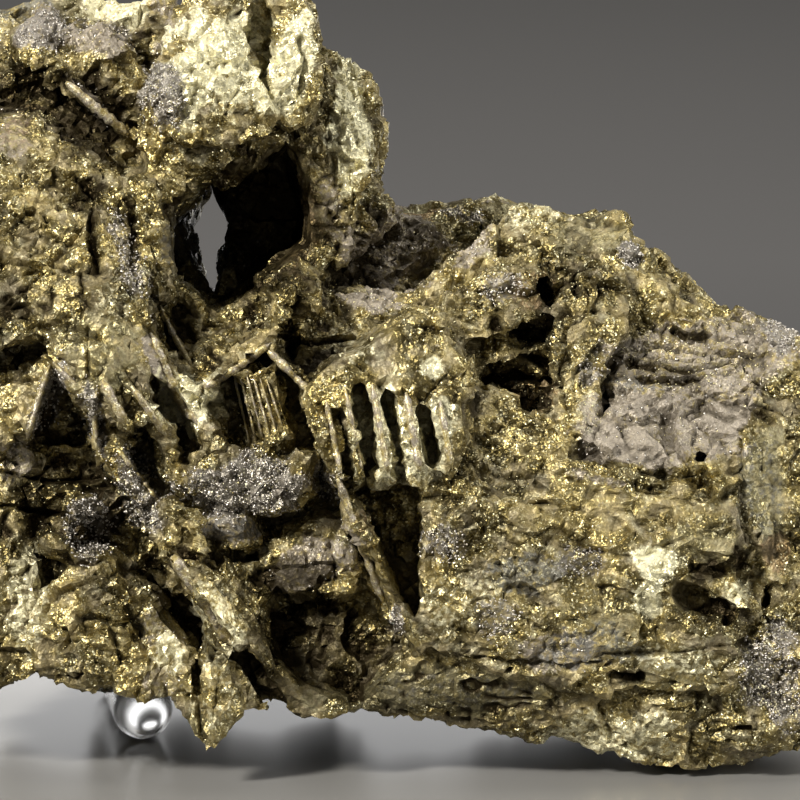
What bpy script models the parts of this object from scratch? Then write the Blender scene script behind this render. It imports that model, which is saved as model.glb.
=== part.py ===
"""A cabinet specimen of arsenopyrite, resting on its right foot and on a short clear rod.

The mineral is one mass of intergrown crystals, laid out as it is seen from the front: u runs to
the right, v runs up, and w runs away from the viewer, all in millimetres. Each chunk is a block
of crystal with the outline that shows from the front, and each boulder is a faceted block of the
back. They are joined, the hollows are cut out of them, and the whole is warped a little so that
no edge stays ruler straight. The crisp slots between the thin plates are cut last.
"""

import math
import random

import bmesh
import bpy
from mathutils import Matrix, Vector, noise
from mathutils.geometry import delaunay_2d_cdt

MM = 0.001

# The front view that the outlines are drawn in.
SIGHT_DISTANCE = 700.0
SIGHT_DROP = math.radians(6.0)
SIGHT_HEIGHT = 61.7

# The surface it rests on, and the point of the right foot that meets it.
FOOT_TIP = (48.3, 0.0, -30.0)

# The clear rod under the left end. The stone keeps a small gap to it.
ROD_DIAMETER = 10.0
ROD_LENGTH = 56.0
ROD_NEAR_END = (-42.0, -13.7)
ROD_TURN = math.radians(8.0)
ROD_SIDES = 24
DOME_STEPS = 4
REST_GAP = 0.3

# The thin ledges that step down the upper part of the right front.
LEDGES = 4
LEDGE_PITCH = 3.1
LEDGE_STEP = 1.0

# The thin plates that stand side by side under the hollow.
BUNDLE_PITCH = 1.9

# How the surface is broken up.
FACET_SIZE = 6.5
ROLL = 4.5
SKIN_GRAIN = 0.6
FINE_DEPTH = -15.0
COARSE_DEPTH = 12.0
FRONT_COARSENESS = 0.12
WARPS = ((19.0, 1.4), (8.0, 0.7), (4.0, 0.3))
STONE_TRIANGLES = 8100

WARP_SEED = 5
GOLDEN_TURN = math.pi * (3 - math.sqrt(5))


def seen(u, v, w):
    """The point that the front view shows at (u, v), at depth w, in millimetres."""
    ahead = Vector((0, math.cos(SIGHT_DROP), -math.sin(SIGHT_DROP)))
    up = Vector((0, math.sin(SIGHT_DROP), math.cos(SIGHT_DROP)))
    across = Vector((u, 0, 0)) + up * (v - SIGHT_HEIGHT)
    return ahead * w + across * (1 + w / SIGHT_DISTANCE)


FLOOR = seen(*FOOT_TIP).z


def clear_scene():
    for old in list(bpy.data.objects):
        bpy.data.objects.remove(old)


def new_collection(name):
    made = bpy.data.collections.new(name)
    bpy.context.scene.collection.children.link(made)
    return made


def add_object(name, mesh, collection):
    made = bpy.data.objects.new(name, mesh)
    collection.objects.link(made)
    if collection in (CUTTERS, FINE_CUTTERS):
        made.hide_render = True
        made.display_type = "WIRE"
    return made


def add_mesh(name, bm, collection):
    mesh = bpy.data.meshes.new(name)
    bmesh.ops.recalc_face_normals(bm, faces=bm.faces)
    bm.to_mesh(mesh)
    bm.free()
    return add_object(name, mesh, collection)


def middle_of(outline):
    count = len(outline)
    return sum(p[0] for p in outline) / count, sum(p[1] for p in outline) / count


def reach_of(outline):
    mu, mv = middle_of(outline)
    return sum(math.hypot(u - mu, v - mv) for u, v in outline) / len(outline)


def inside(point, outline):
    crossings = 0
    for (au, av), (bu, bv) in zip(outline, outline[1:] + outline[:1]):
        if (av > point.y) != (bv > point.y):
            crossings += point.x < au + (point.y - av) * (bu - au) / (bv - av)
    return crossings % 2 == 1


def edge_distance(point, outline):
    nearest = math.inf
    for a, b in zip(outline, outline[1:] + outline[:1]):
        a, b = Vector(a), Vector(b)
        share = max(0.0, min(1.0, (point - a).dot(b - a) / (b - a).length_squared))
        nearest = min(nearest, (point - a.lerp(b, share)).length)
    return nearest


def scattered(outline, spacing, chance):
    """Loosely spaced points inside an outline."""
    us, vs = zip(*outline)
    found = []
    for row in range(int((max(vs) - min(vs)) / spacing) + 1):
        for column in range(int((max(us) - min(us)) / spacing) + 1):
            u = min(us) + (column + 0.5 + 0.5 * (row % 2) + chance.uniform(-0.3, 0.3)) * spacing
            v = min(vs) + (row + 0.5 + chance.uniform(-0.3, 0.3)) * spacing
            point = Vector((u, v))
            if inside(point, outline) and edge_distance(point, outline) > 0.35 * spacing:
                found.append(point)
    return found


def chunk(name, outline, face, depth, lean=(0.0, 0.0), crown=1.5, flare=0.0, slide=(0.0, 0.0), heel=4.0,
          rough=0.5, facet=FACET_SIZE):
    """A block of crystal. face is the depth of its front, which leans by lean across and up, stands
    proud of its rim by crown and is rough by rough. It runs back by depth, where it is flare wider
    all round, shifted by slide, and bulges by heel."""
    chance = random.Random(name)
    mu, mv = middle_of(outline)
    grow = 1 + flare / reach_of(outline)
    loose = scattered(outline, facet, chance)
    flat = [Vector(p) for p in outline] + loose
    rim = len(outline)
    ring = [(i, (i + 1) % rim) for i in range(rim)]
    points, _, faces, _, _, _ = delaunay_2d_cdt(flat, ring, [], 1, 0.01)
    bm = bmesh.new()
    near = []
    for point in points:
        rise = crown * min(1.0, edge_distance(point, outline) / ROLL) + chance.uniform(-rough, rough)
        w = face + lean[0] * (point.x - mu) + lean[1] * (point.y - mv) - rise
        near.append(bm.verts.new(seen(point.x, point.y, w) * MM))
    for corners in faces:
        bm.faces.new([near[i] for i in corners])
    far = []
    for u, v in outline:
        back = (mu + (u - mu) * grow + slide[0], mv + (v - mv) * grow + slide[1], face + depth)
        far.append(bm.verts.new(seen(*back) * MM))
    tip = bm.verts.new(seen(mu + slide[0], mv + slide[1], face + depth + heel) * MM)
    for i, j in ring:
        bm.faces.new((far[j], far[i], tip))
        bm.faces.new((near[i], far[i], far[j], near[j]))
    bmesh.ops.triangulate(bm, faces=bm.faces)
    return add_mesh(name, bm, CHUNKS)


def strip(line, i, thickness, tip=0.0):
    """The outline of stretch i of a line, as a band of the given thickness."""
    a, b = Vector(line[i]), Vector(line[i + 1])
    along = (b - a).normalized()
    side = Vector((-along.y, along.x)) * thickness / 2
    a, b = a - along * tip, b + along * tip
    return [tuple(p) for p in (a - side, b - side * 0.85, b + side * 0.85, a + side)]


def blade(name, line, thickness, face, depth, tip=0.6):
    """A thin plate of crystal seen edge on, standing along a line of points."""
    for i in range(len(line) - 1):
        band = strip(line, i, thickness, tip)
        chunk(f"{name}_{i}", band, face, depth, crown=0.4, flare=0.4, heel=0, rough=0)


def boulder(name, middle, radii, corners=20):
    """A convex block of crystal with flat faces, its corners spread over an ellipsoid."""
    chance = random.Random(name)
    bm = bmesh.new()
    for i in range(corners):
        height = 1 - 2 * (i + 0.5) / corners
        turn = i * GOLDEN_TURN + chance.uniform(-0.4, 0.4)
        round_reach = math.sqrt(1 - height * height)
        direction = (round_reach * math.cos(turn), round_reach * math.sin(turn), height)
        stretch = chance.uniform(0.86, 1.06)
        bm.verts.new(seen(*(m + r * d * stretch for m, r, d in zip(middle, radii, direction))) * MM)
    hull = bmesh.ops.convex_hull(bm, input=bm.verts)
    spare = [g for g in hull["geom_interior"] if isinstance(g, bmesh.types.BMVert)]
    bmesh.ops.delete(bm, geom=spare, context="VERTS")
    return add_mesh(name, bm, CHUNKS)


def hollow(name, outline, floor, mouth=-75.0, narrow=1.0, slide=(0.0, 0.0), collection=None):
    """A cutter that opens towards the viewer and ends at the depth floor, narrower by narrow."""
    mu, mv = middle_of(outline)
    shrink = 1 - narrow / reach_of(outline)
    bm = bmesh.new()
    near = [bm.verts.new(seen(u, v, mouth) * MM) for u, v in outline]
    far = []
    for u, v in outline:
        back = (mu + (u - mu) * shrink + slide[0], mv + (v - mv) * shrink + slide[1], floor)
        far.append(bm.verts.new(seen(*back) * MM))
    bm.faces.new(near)
    bm.faces.new(reversed(far))
    for i in range(len(outline)):
        j = (i + 1) % len(outline)
        bm.faces.new((near[j], near[i], far[i], far[j]))
    bmesh.ops.triangulate(bm, faces=bm.faces)
    return add_mesh(name, bm, collection or CUTTERS)


def cell(name, outline, floor, narrow=0.35):
    """A crisp walled pocket, cut into the finished skin."""
    hollow(name, outline, floor, narrow=narrow, collection=FINE_CUTTERS)


def groove(name, line, width, floor, narrow=0.35):
    """A crisp straight sided slot, cut along a line of points."""
    for i in range(len(line) - 1):
        cell(f"{name}_{i}", strip(line, i, width), floor, narrow)


def core_masses():
    """The bulk behind the front faces."""
    chunk(
        "heart_left",
        [(-88, 34), (-84, 72), (-66, 92), (-45, 88), (-12, 64), (-6, 40), (-8, 17), (-30, 14), (-60, 16),
         (-80, 22)],
        -30, 56, crown=0, flare=-7, slide=(2, 7), heel=6,
    )
    chunk(
        "heart_right",
        [(-14, 20), (5, 14), (30, 10), (50, 5), (64, 6), (73, 12), (73, 58), (60, 71), (40, 84), (22, 89),
         (2, 75), (-12, 60)],
        -28, 58, crown=0, flare=-5, slide=(-2, 6), heel=6,
    )
    chunk(
        "heart_middle",
        [(-40, 22), (-40, 70), (-20, 78), (10, 74), (16, 50), (12, 18), (-10, 14)],
        -24, 58, crown=0, flare=-3, slide=(0, 6), heel=5,
    )
    chunk(
        "left_end",
        [(-94, 42), (-92, 62), (-84, 84), (-72, 100), (-60, 96), (-60, 30), (-74, 19), (-88, 28)],
        -28, 50, lean=(-0.25, 0.1), crown=3, flare=-7, slide=(3, 4), heel=5,
    )
    chunk(
        "back_left",
        [(-88, 74), (-86, 100), (-76, 119), (-66, 128), (-52, 129.5), (-49, 127.6), (-43, 127.7), (-38, 129),
         (-35, 112), (-34, 88), (-50, 80), (-70, 68)],
        3, 26, lean=(0.05, 0.15), crown=2, flare=-7, slide=(2, -2),
    )
    chunk(
        "back_ridge",
        [(-12, 62), (-9, 88), (-3, 94), (0, 92.5), (5, 94), (12, 94.3), (15, 95.6), (20, 94), (28, 90),
         (36, 72), (20, 56)],
        8, 26, lean=(0, 0.25), crown=2, flare=-3, heel=3,
    )
    chunk(
        "saddle",
        [(-16, 72), (-12, 88), (-2, 93), (6, 92), (12, 86), (4, 74), (-4, 71)],
        -6, 30, lean=(0.1, 0.5), crown=0, heel=0,
    )
    chunk(
        "tower_core",
        [(-42, 92), (-41, 112), (-36, 127), (-30, 130), (-18, 129), (-14, 121), (-8, 112), (-5, 100),
         (-8, 84), (-24, 80)],
        -22, 42, lean=(0.1, 0.1), crown=0, flare=-4, slide=(0, -1), heel=5,
    )
    chunk(
        "cave_back",
        [(-50, 66), (-48, 100), (-38, 108), (-14, 108), (-7, 98), (-5, 84), (-8, 70), (-30, 60)],
        0, 30, crown=1, flare=-2,
    )


def back_blocks():
    """The faceted blocks of the back, the left tip and the right end."""
    blocks = (
        ("back_low_left", (-60, 50, 22), (27, 30, 23)),
        ("back_high_left", (-59, 100, 20), (25, 26, 21)),
        ("back_middle", (-14, 48, 30), (31, 34, 21)),
        ("back_tower", (-25, 103, 14), (17, 22, 19)),
        ("back_right", (32, 50, 26), (33, 36, 22)),
        ("back_far_right", (62, 40, 4), (14, 29, 32)),
        ("back_crest", (16, 78, 24), (25, 13, 16)),
        ("back_base_left", (-34, 27, 24), (27, 12, 20)),
        ("back_base_right", (36, 23, 18), (34, 12, 24)),
        ("left_tip", (-84, 62, -4), (11, 34, 24)),
        ("left_crown", (-74, 104, 2), (15, 18, 18)),
        ("base_left", (-66, 30, -4), (18, 13, 24)),
    )
    for name, middle, radii in blocks:
        boulder(name, middle, radii)


def left_shoulder():
    chunk(
        "shoulder",
        [(-82, 98), (-70, 110), (-60, 109), (-51, 103), (-43.5, 93), (-41.5, 81), (-47, 73), (-58, 72),
         (-70, 70), (-84, 74)],
        -36, 38, lean=(0.02, 0.5), crown=3.5, flare=2,
    )
    chunk(
        "shoulder_lobe",
        [(-57, 85), (-49, 89), (-42.5, 79), (-39.5, 69), (-41, 60.5), (-47, 57), (-53.5, 61), (-58, 72)],
        -44, 30, lean=(0.1, 0.25), crown=3.5, flare=3,
    )
    chunk(
        "upper_slope",
        [(-86, 96), (-74, 117), (-64, 121), (-56, 117), (-45, 104), (-40, 95), (-50, 92), (-66, 98)],
        -12, 26, lean=(0.1, 0.7), crown=2, flare=-1,
    )
    chunk(
        "top_lumps",
        [(-55, 120), (-49, 124), (-42.5, 117), (-42, 108), (-49, 109), (-56, 114)],
        -10, 20, crown=3, flare=2, facet=4,
    )
    chunk(
        "grey_block",
        [(-64, 122), (-59, 128), (-54, 122.5), (-50, 115), (-56, 111), (-63, 117)],
        -8, 22, lean=(0.1, 0.3), crown=2, flare=1,
    )
    blade("grey_blade", [(-58, 118), (-45, 105)], 2.0, -19, 22)
    chunk(
        "inner_lump",
        [(-47.5, 84), (-44.5, 84), (-42, 79), (-42.5, 73), (-45.5, 75), (-48, 80)],
        -38, 20, crown=2, flare=1,
    )
    chunk(
        "cave_rib",
        [(-45.5, 99), (-42, 99), (-39, 90), (-36.5, 79), (-38.5, 77), (-41.5, 84), (-44.5, 93)],
        -35, 28, crown=1, flare=1.5,
    )


def tower():
    chunk(
        "tower_left_lobe",
        [(-41.5, 112), (-39.5, 121), (-36.5, 127), (-31, 130.5), (-24.8, 130.5), (-25.4, 124), (-24.4, 115.5),
         (-22.6, 110.5), (-23, 107), (-29, 104.5), (-37, 105)],
        -33, 30, lean=(0, 0.22), crown=3.5, flare=-1.5, facet=5,
    )
    chunk(
        "tower_left_foot",
        [(-43, 112), (-39.5, 117), (-36, 108), (-29, 105.5), (-26, 102), (-34, 98), (-40.5, 94.5),
         (-43.5, 101)],
        -28, 26, lean=(0, 0.1), crown=3, facet=5,
    )
    chunk(
        "tower_right_lobe",
        [(-22.5, 129), (-16, 129.5), (-14, 126), (-13.5, 119), (-13, 112.5), (-15, 108), (-20, 105.5),
         (-21.6, 108), (-21.4, 116), (-20.4, 119), (-20.6, 125)],
        -31, 28, lean=(0.15, 0.12), crown=2, flare=-0.5, facet=5,
    )
    chunk("slot_floor", [(-27, 130), (-17, 130.5), (-16, 106), (-27, 103)], -23, 30, crown=0, flare=-1)
    chunk(
        "wing",
        [(-15, 121), (-10, 119.5), (-6.5, 118), (-5.5, 114.5), (-3.5, 113.5), (-3, 110), (-3.7, 104),
         (-5.3, 101.5), (-5, 98), (-2.5, 95), (-1, 92), (-8, 84), (-11.5, 84), (-11.5, 93), (-12.3, 101.5),
         (-13.7, 111)],
        -15, 30, lean=(0.4, 0.0), crown=2.5, flare=-1.5, facet=5,
    )
    boulder("wing_knob_high", (-7.5, 113.5, -12), (3.6, 3.8, 6), 14)
    boulder("wing_knob_low", (-6.8, 104, -12), (3.4, 4.8, 6), 14)
    boulder("wing_knob_foot", (-6.0, 95, -10), (3.4, 4.0, 6), 14)


def cave():
    """The hollow under the tower, and the slit that light comes through."""
    hollow(
        "cave",
        [(-38.8, 94), (-31, 98.5), (-23, 102.3), (-14.8, 109.3), (-12.6, 101.5), (-11.2, 93), (-11.2, 86),
         (-17.5, 82.3), (-23, 78.5), (-27.5, 75.2), (-31, 74.3), (-35, 80), (-37.5, 87)],
        6, narrow=4, slide=(-2.5, 0),
    )
    hollow(
        "window",
        [(-34.0, 94.2), (-32.5, 97.3), (-30.9, 98.0), (-29.6, 94.5), (-28.4, 90.3), (-29.6, 87.7),
         (-30.5, 87), (-29.2, 81.5), (-32, 81.2), (-34.0, 84), (-34.2, 87.5), (-33.2, 88.4)],
        80, narrow=-1.5,
    )
    chunk(
        "cave_sill",
        [(-43, 76), (-38, 79), (-31, 76), (-24, 79), (-18, 82.5), (-12, 83), (-14, 74), (-26, 66),
         (-34, 61.5), (-41, 70)],
        -30, 26, lean=(0, 0.8), crown=1,
    )


def plates_below_cave():
    """The thin plates that cross under the cave and leave box shaped pockets between them."""
    blade("plate_left_arm", [(-43, 74), (-34.5, 61.5), (-31, 54)], 2.4, -44, 22)
    blade("plate_right_arm", [(-34.5, 61.5), (-27, 69.5), (-21.5, 73.5), (-18.5, 80)], 2.2, -43, 20)
    chunk(
        "arm_knob",
        [(-22, 80), (-19, 82.5), (-14.5, 81), (-13.5, 76.5), (-18.5, 75)],
        -37, 20, crown=2.5, flare=2, facet=4,
    )
    blade("plate_cross", [(-22.5, 70.5), (-14.5, 61.5)], 1.8, -44, 20)
    chunk("plate_bundle", [(-28, 66), (-22, 67.5), (-17.5, 55), (-22.5, 53.5)], -43, 18, crown=0.4, rough=0.3)
    for i in range(3):
        top = (-26.3 + BUNDLE_PITCH * i, 67 - 0.6 * i)
        foot = (-21.4 + 0.8 * BUNDLE_PITCH * i, 56.4 - 0.9 * i)
        groove(f"bundle_gap_{i}", [top, foot], (0.35 + 0.1 * i) * BUNDLE_PITCH, -38)
    cell("cell_left", [(-42.5, 67), (-39.4, 65), (-37.6, 57.5), (-41, 59)], -35)
    cell("cell_middle", [(-31.6, 64.6), (-28.4, 66.5), (-26.4, 61), (-29.6, 57)], -35)
    cell("cell_right", [(-19.6, 65), (-17, 64), (-16.2, 59.5), (-18.8, 60)], -35)
    chunk(
        "pocket_floor",
        [(-36, 60), (-27, 69), (-14, 64), (-13, 54), (-20, 50), (-34, 50)],
        -34, 20, crown=0,
    )
    chunk(
        "silver_band",
        [(-37.5, 51), (-33, 54), (-20, 53), (-14.5, 53), (-15, 46.5), (-22, 43), (-30, 44.5), (-37, 47.5)],
        -43, 24, crown=2, flare=1.5, facet=4,
    )
    boulder("brown_knob", (-28.5, 40.5, -35), (6.5, 4.6, 8))
    blade("finger_left", [(-49.5, 65), (-45.5, 55)], 2.4, -43, 20)
    blade("finger_right", [(-45, 64), (-39.5, 57), (-38, 50)], 2.2, -43.5, 20)
    blade("silver_ridge", [(-58, 67.5), (-50.5, 60), (-51, 54)], 2.2, -41, 20)
    blade("low_grey_blade", [(-50, 54), (-42, 45)], 4.0, -42, 20)
    chunk(
        "crust_wedge",
        [(-70, 66), (-58, 68), (-61.5, 56), (-70, 53)],
        -39, 20, lean=(-0.4, 0.1), crown=1, flare=1,
    )
    boulder("silver_knob_high", (-53, 43.5, -39), (4.2, 3.6, 6), 16)
    boulder("silver_knob_low", (-57, 38, -38), (3.6, 3.2, 6), 16)


def front_block():
    """The bright faced block in the middle, with its four slots."""
    chunk(
        "front_block",
        [(-15.7, 63), (-10.3, 68.5), (-6.7, 70), (-2, 73.5), (2, 76), (6.5, 76.5), (11.2, 69), (12, 64.7),
         (11.2, 60.5), (11.5, 55), (8, 48.5), (-8.5, 48.5), (-14, 57)],
        -49, 24, lean=(0.05, 0.12), crown=1.5, flare=2,
    )
    chunk(
        "behind_block",
        [(-18, 66), (-15, 78), (-10, 79.5), (0, 78), (6, 81), (9, 77), (9, 66), (0, 60), (-10, 58)],
        -31, 26, lean=(0, 0.8), crown=0, flare=1, facet=4,
    )
    slots = (
        ("slot_left", [(-10.8, 60.5), (-9.6, 60), (-8.2, 54), (-7.5, 46), (-8.9, 46), (-10.2, 54)], -43),
        ("slot_wide",
         [(-8.4, 64), (-5.7, 64.5), (-3.3, 57.5), (-3.5, 53), (-4.6, 46), (-6.3, 46), (-8, 56.7)], -41),
        ("slot_middle", [(-3, 63.2), (-1.2, 63), (-0.1, 56), (1.3, 46), (-0.4, 46), (-1.8, 55)], -41),
        ("slot_right", [(3.1, 62.5), (4.1, 61.7), (5.3, 56.7), (6.3, 50.5), (4.4, 51.5), (3.4, 57.5)], -43),
        ("block_pocket", [(6.6, 75.7), (8.8, 74.7), (10.6, 71.7), (11.2, 68.3), (9.2, 69.7), (7.4, 73)], -38),
    )
    for name, outline, floor in slots:
        cell(name, outline, floor)


def right_ridge():
    chunk(
        "crest",
        [(1, 78), (8, 84.7), (13.5, 89.2), (20, 94.8), (26.7, 93), (37, 93.4), (40.3, 88.3), (42, 84),
         (33, 77), (26.7, 72), (12, 72), (5, 75)],
        -24, 34, lean=(0.02, 0.38), crown=3, flare=-2.5,
    )
    chunk(
        "gold_pillar",
        [(27, 78), (33, 83.5), (38.5, 82), (38, 73), (33.5, 65), (32, 57), (29, 53), (26.7, 58), (26.5, 67),
         (24.5, 72)],
        -36, 26, lean=(0.05, 0.3), crown=2, flare=3, facet=5,
    )
    chunk(
        "right_slope",
        [(38, 89), (42.5, 86.5), (46, 83.5), (50, 81), (54, 77.5), (57.5, 77), (62.5, 75), (66.7, 72.5),
         (75, 65), (76, 55), (58, 52), (48, 54), (36, 58), (35, 72)],
        -27, 38, lean=(0.05, 0.72), crown=2, flare=-1.5, slide=(-2, -2), facet=5,
    )
    chunk(
        "ribbed_recess",
        [(12, 74), (26, 74), (27, 62), (24, 54), (12, 54), (9, 64)],
        -33, 24, lean=(0, 0.3), crown=0, flare=1, facet=4,
    )
    chunk(
        "crest_ledge",
        [(8, 79), (15, 84), (24, 84), (27, 78), (21, 73), (10, 73)],
        -32, 24, lean=(0, 0.5), crown=1.5, flare=1, facet=4,
    )
    hollow(
        "crest_pit",
        [(21, 79.5), (21.6, 83.4), (23.8, 83.6), (25.2, 81.4), (27.6, 80.6), (26.8, 77), (24, 75.6)],
        -23, narrow=1,
    )
    cell("crest_crack", [(28.2, 82.6), (29.9, 82.9), (30.4, 80.2), (29.2, 78), (28.1, 79.3)], -26, 0.5)
    hollow("recess_roof", [(16, 73.4), (20, 75.6), (26.8, 74.4), (26.2, 71.4), (21, 70.6)], -26, narrow=0.8)
    hollow("recess_cut", [(13, 69), (20, 69.6), (26, 68.6), (26, 63), (19, 62), (13.5, 64.4)], -28)
    hollow("recess_pocket", [(19, 62.6), (26, 63.6), (26.2, 60.4), (22, 58.4), (18.6, 60)], -31, narrow=0.8)


def right_plates():
    """The pale flat plates that step down the right slope."""
    plates = (
        ("plate_wide",
         [(30.5, 55.5), (35, 59), (42, 61.5), (48, 58), (50, 55), (46.5, 50), (40, 49), (33.5, 51)],
         -41.5, (0.05, 0.6)),
        ("plate_upper", [(37, 66), (43, 67), (47, 64), (44, 61), (38, 61.5)], -36, (0.1, 0.6)),
        ("plate_middle", [(49.5, 63), (56, 63.5), (57.5, 60), (51, 58)], -36, (0.1, 0.5)),
        ("plate_step", [(50, 58), (57, 60), (58.5, 54), (52, 52)], -39.5, (0.1, 0.5)),
        ("plate_high", [(52.5, 72.5), (58, 73.5), (65, 71), (63, 68.5), (56, 69)], -27, (0.1, 0.5)),
        ("plate_top", [(45, 77), (51, 77.5), (53, 73), (47, 72)], -24, (0.1, 0.6)),
    )
    for name, outline, face, lean in plates:
        chunk(name, outline, face, 9, lean=lean, crown=0.2, flare=-0.6, heel=0, rough=0.1)


def right_front():
    chunk(
        "bench",
        [(9, 55), (24, 54.5), (33, 53), (46, 51.5), (56, 51), (58, 42), (50, 37), (35, 39), (20, 39),
         (6, 43)],
        -43, 30, lean=(0, 0.42), crown=1, flare=2,
    )
    chunk(
        "granular_slope",
        [(8, 58), (12, 66), (27, 63), (30, 54), (20, 48), (7, 48)],
        -41, 26, lean=(0, 0.3), crown=1, flare=1.5, facet=4,
    )
    chunk(
        "right_corner",
        [(54, 52), (57.5, 61), (66, 62.5), (75, 59), (77, 34), (76, 10), (66, 3.4), (57, 3), (55.5, 28),
         (52, 36)],
        -37, 48, lean=(0.38, 0.02), crown=3, flare=-4, slide=(-2, 2),
    )
    chunk(
        "front_wall",
        [(3, 43), (23, 45), (50, 43), (57, 29), (56, 14), (33, 13), (13, 17), (3, 21)],
        -46, 40, lean=(0.03, -0.03), crown=2,
    )
    chunk(
        "overhang",
        [(-8.5, 11.3), (0, 19), (5, 21.5), (20, 20), (40, 21.5), (50, 18), (57, 12), (50, 3.6), (33, 4.2),
         (20, 6.6), (10, 8.4), (0, 9.3)],
        -40, 46, lean=(0.0, -0.32), crown=2.5, flare=-3, slide=(0, 6), facet=5,
    )
    chunk(
        "foot",
        [(30, 6.2), (36, 3.4), (42, 1), (48.3, -1.2), (53, -0.2), (58, 0.6), (66, 3.2), (75, 6), (76, 22),
         (57, 22), (38, 17)],
        -37, 52, lean=(0.05, -0.3), crown=2.5, flare=-3, slide=(0, 8.5), facet=5,
    )
    for i in range(LEDGES):
        drop = LEDGE_PITCH * i
        line = [(20 + 3 * i, 50.5 - drop), (38, 49.5 - drop), (56, 45 - drop)]
        blade(f"ledge_{i}", line, 0.75 * LEDGE_PITCH, -44.6 - LEDGE_STEP * i, 12)
    chunk(
        "bright_step",
        [(35, 38.5), (44.5, 38), (46, 34), (42, 27), (37, 31)],
        -48, 16, lean=(0.25, 0.3), crown=1.2, flare=1.5,
    )
    chunk(
        "notch_peak",
        [(51.5, 34), (56, 33), (59.5, 26.5), (54, 28.5), (50, 31)],
        -45, 14, lean=(-0.3, 0.3), crown=2, flare=1.5,
    )
    chunk(
        "lower_step",
        [(39, 22), (46, 24), (55, 21), (58, 16), (47, 15), (39, 17)],
        -46, 16, lean=(0, 0.3), crown=1, flare=1,
    )
    hollow("notch", [(45, 33), (50, 30.5), (57, 27), (58.5, 23), (48, 25), (43.5, 29)], -42, narrow=1.5)
    cell("notch_side", [(59.7, 32), (62, 31), (62, 27), (60, 26.5)], -34)


def lower_middle():
    chunk(
        "hollow_floor",
        [(-25, 32), (3, 32), (4, 16), (-8, 11.5), (-20, 13), (-26, 22)],
        -32, 26, lean=(0, 0.1), crown=0, flare=-2, slide=(0, 4),
    )
    chunk(
        "flat_facet",
        [(-23.5, 38), (-13, 42.5), (-8.5, 41), (-7.5, 30), (-17, 29), (-23.5, 33)],
        -38, 20, lean=(-0.1, 0.1), crown=0.4, flare=1, rough=0.1,
    )
    groove("needle", [(-11.8, 38), (-9.7, 30.5)], 1.5, -33)
    blade("long_blade", [(-11.5, 51), (-4, 35), (2.3, 20.5)], 1.8, -48.5, 20)
    chunk(
        "pale_face",
        [(3.2, 49), (14, 48), (14, 30), (11, 19), (2, 19), (3.2, 33)],
        -46, 26, lean=(0.02, 0.02), crown=1, flare=0.5,
    )
    chunk("bay_floor", [(-12, 50), (6, 50), (6, 24), (-4, 26)], -35, 16, crown=0)


def lower_left():
    chunk(
        "round_lump",
        [(-62, 22), (-60, 30), (-56, 35), (-50, 37), (-45, 33.5), (-41.7, 28), (-41, 21), (-43, 14.5),
         (-50, 13), (-57, 14), (-60.5, 17.5)],
        -42, 26, crown=4.5, flare=-1, slide=(0, 5),
    )
    chunk(
        "smooth_lobe",
        [(-45, 33), (-41.5, 30), (-36, 22), (-33, 17), (-36, 12), (-43, 11.3), (-47, 13), (-44, 22)],
        -43, 24, crown=3, slide=(0, 5),
    )
    chunk(
        "diagonal_ridge",
        [(-39, 35.5), (-33, 34), (-27, 28), (-23, 22), (-20.5, 16), (-24, 17), (-29, 21), (-35, 28),
         (-40.5, 33)],
        -51, 28, lean=(0.12, 0), crown=1.5, flare=2,
    )
    chunk(
        "ridge_back",
        [(-34, 36), (-22, 34), (-20, 16), (-26, 10), (-32, 14)],
        -40, 24, lean=(0.35, 0), crown=0, flare=1, slide=(0, 3),
    )
    chunk(
        "spike",
        [(-39, 13), (-37.5, 16), (-29, 18.5), (-25.5, 14), (-26.5, 8.5), (-33, 2.3), (-36, 6.5), (-38.5, 11)],
        -46, 15, lean=(0.12, 0), crown=2.5, flare=-2.5, slide=(0, 5),
    )
    chunk(
        "low_edge",
        [(-25, 22), (-17, 14), (-9, 12), (-8, 9.2), (-16, 8.3), (-19, 10.5), (-25.5, 8.5), (-27, 13)],
        -43, 24, lean=(0.05, -0.1), crown=1, flare=-0.5, slide=(0, 5),
    )
    groove("groove_left", [(-43, 37), (-35, 28), (-29, 20)], 4.2, -38)
    groove("groove_right", [(-27, 20.5), (-19.5, 10)], 4.2, -37)
    groove("groove_foot", [(-34, 19), (-33.5, 12.5)], 1.6, -41)
    chunk(
        "far_left_low",
        [(-84, 40), (-66, 42), (-60, 32), (-62.5, 22), (-60, 16), (-68, 12.5), (-84, 18)],
        -36, 34, lean=(-0.15, 0), crown=2.5, flare=-1, slide=(0, 4),
    )
    chunk(
        "left_wall",
        [(-86, 62), (-70, 64), (-60, 54), (-62, 40), (-70, 36), (-88, 40)],
        -34, 30, lean=(-0.1, 0.1), crown=2,
    )
    chunk("nodule_bed", [(-62, 54), (-40, 56), (-36, 46), (-40, 34), (-60, 34)], -33, 20, crown=0)
    for i, (u, v) in enumerate(((-38.5, 43), (-35, 40.5), (-38, 38.5), (-34, 36.5))):
        boulder(f"nodule_{i}", (u, v, -42), (3.0, 2.8, 5), 14)


def bearing_lobe():
    """The part of the underside that bears on the rod."""
    chunk(
        "bearing_lobe",
        [(-53, 26), (-36, 26), (-36, 14), (-43, 12.5), (-51, 14)],
        -6, 38, crown=1, flare=-2, slide=(-2, 2), heel=2,
    )


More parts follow.
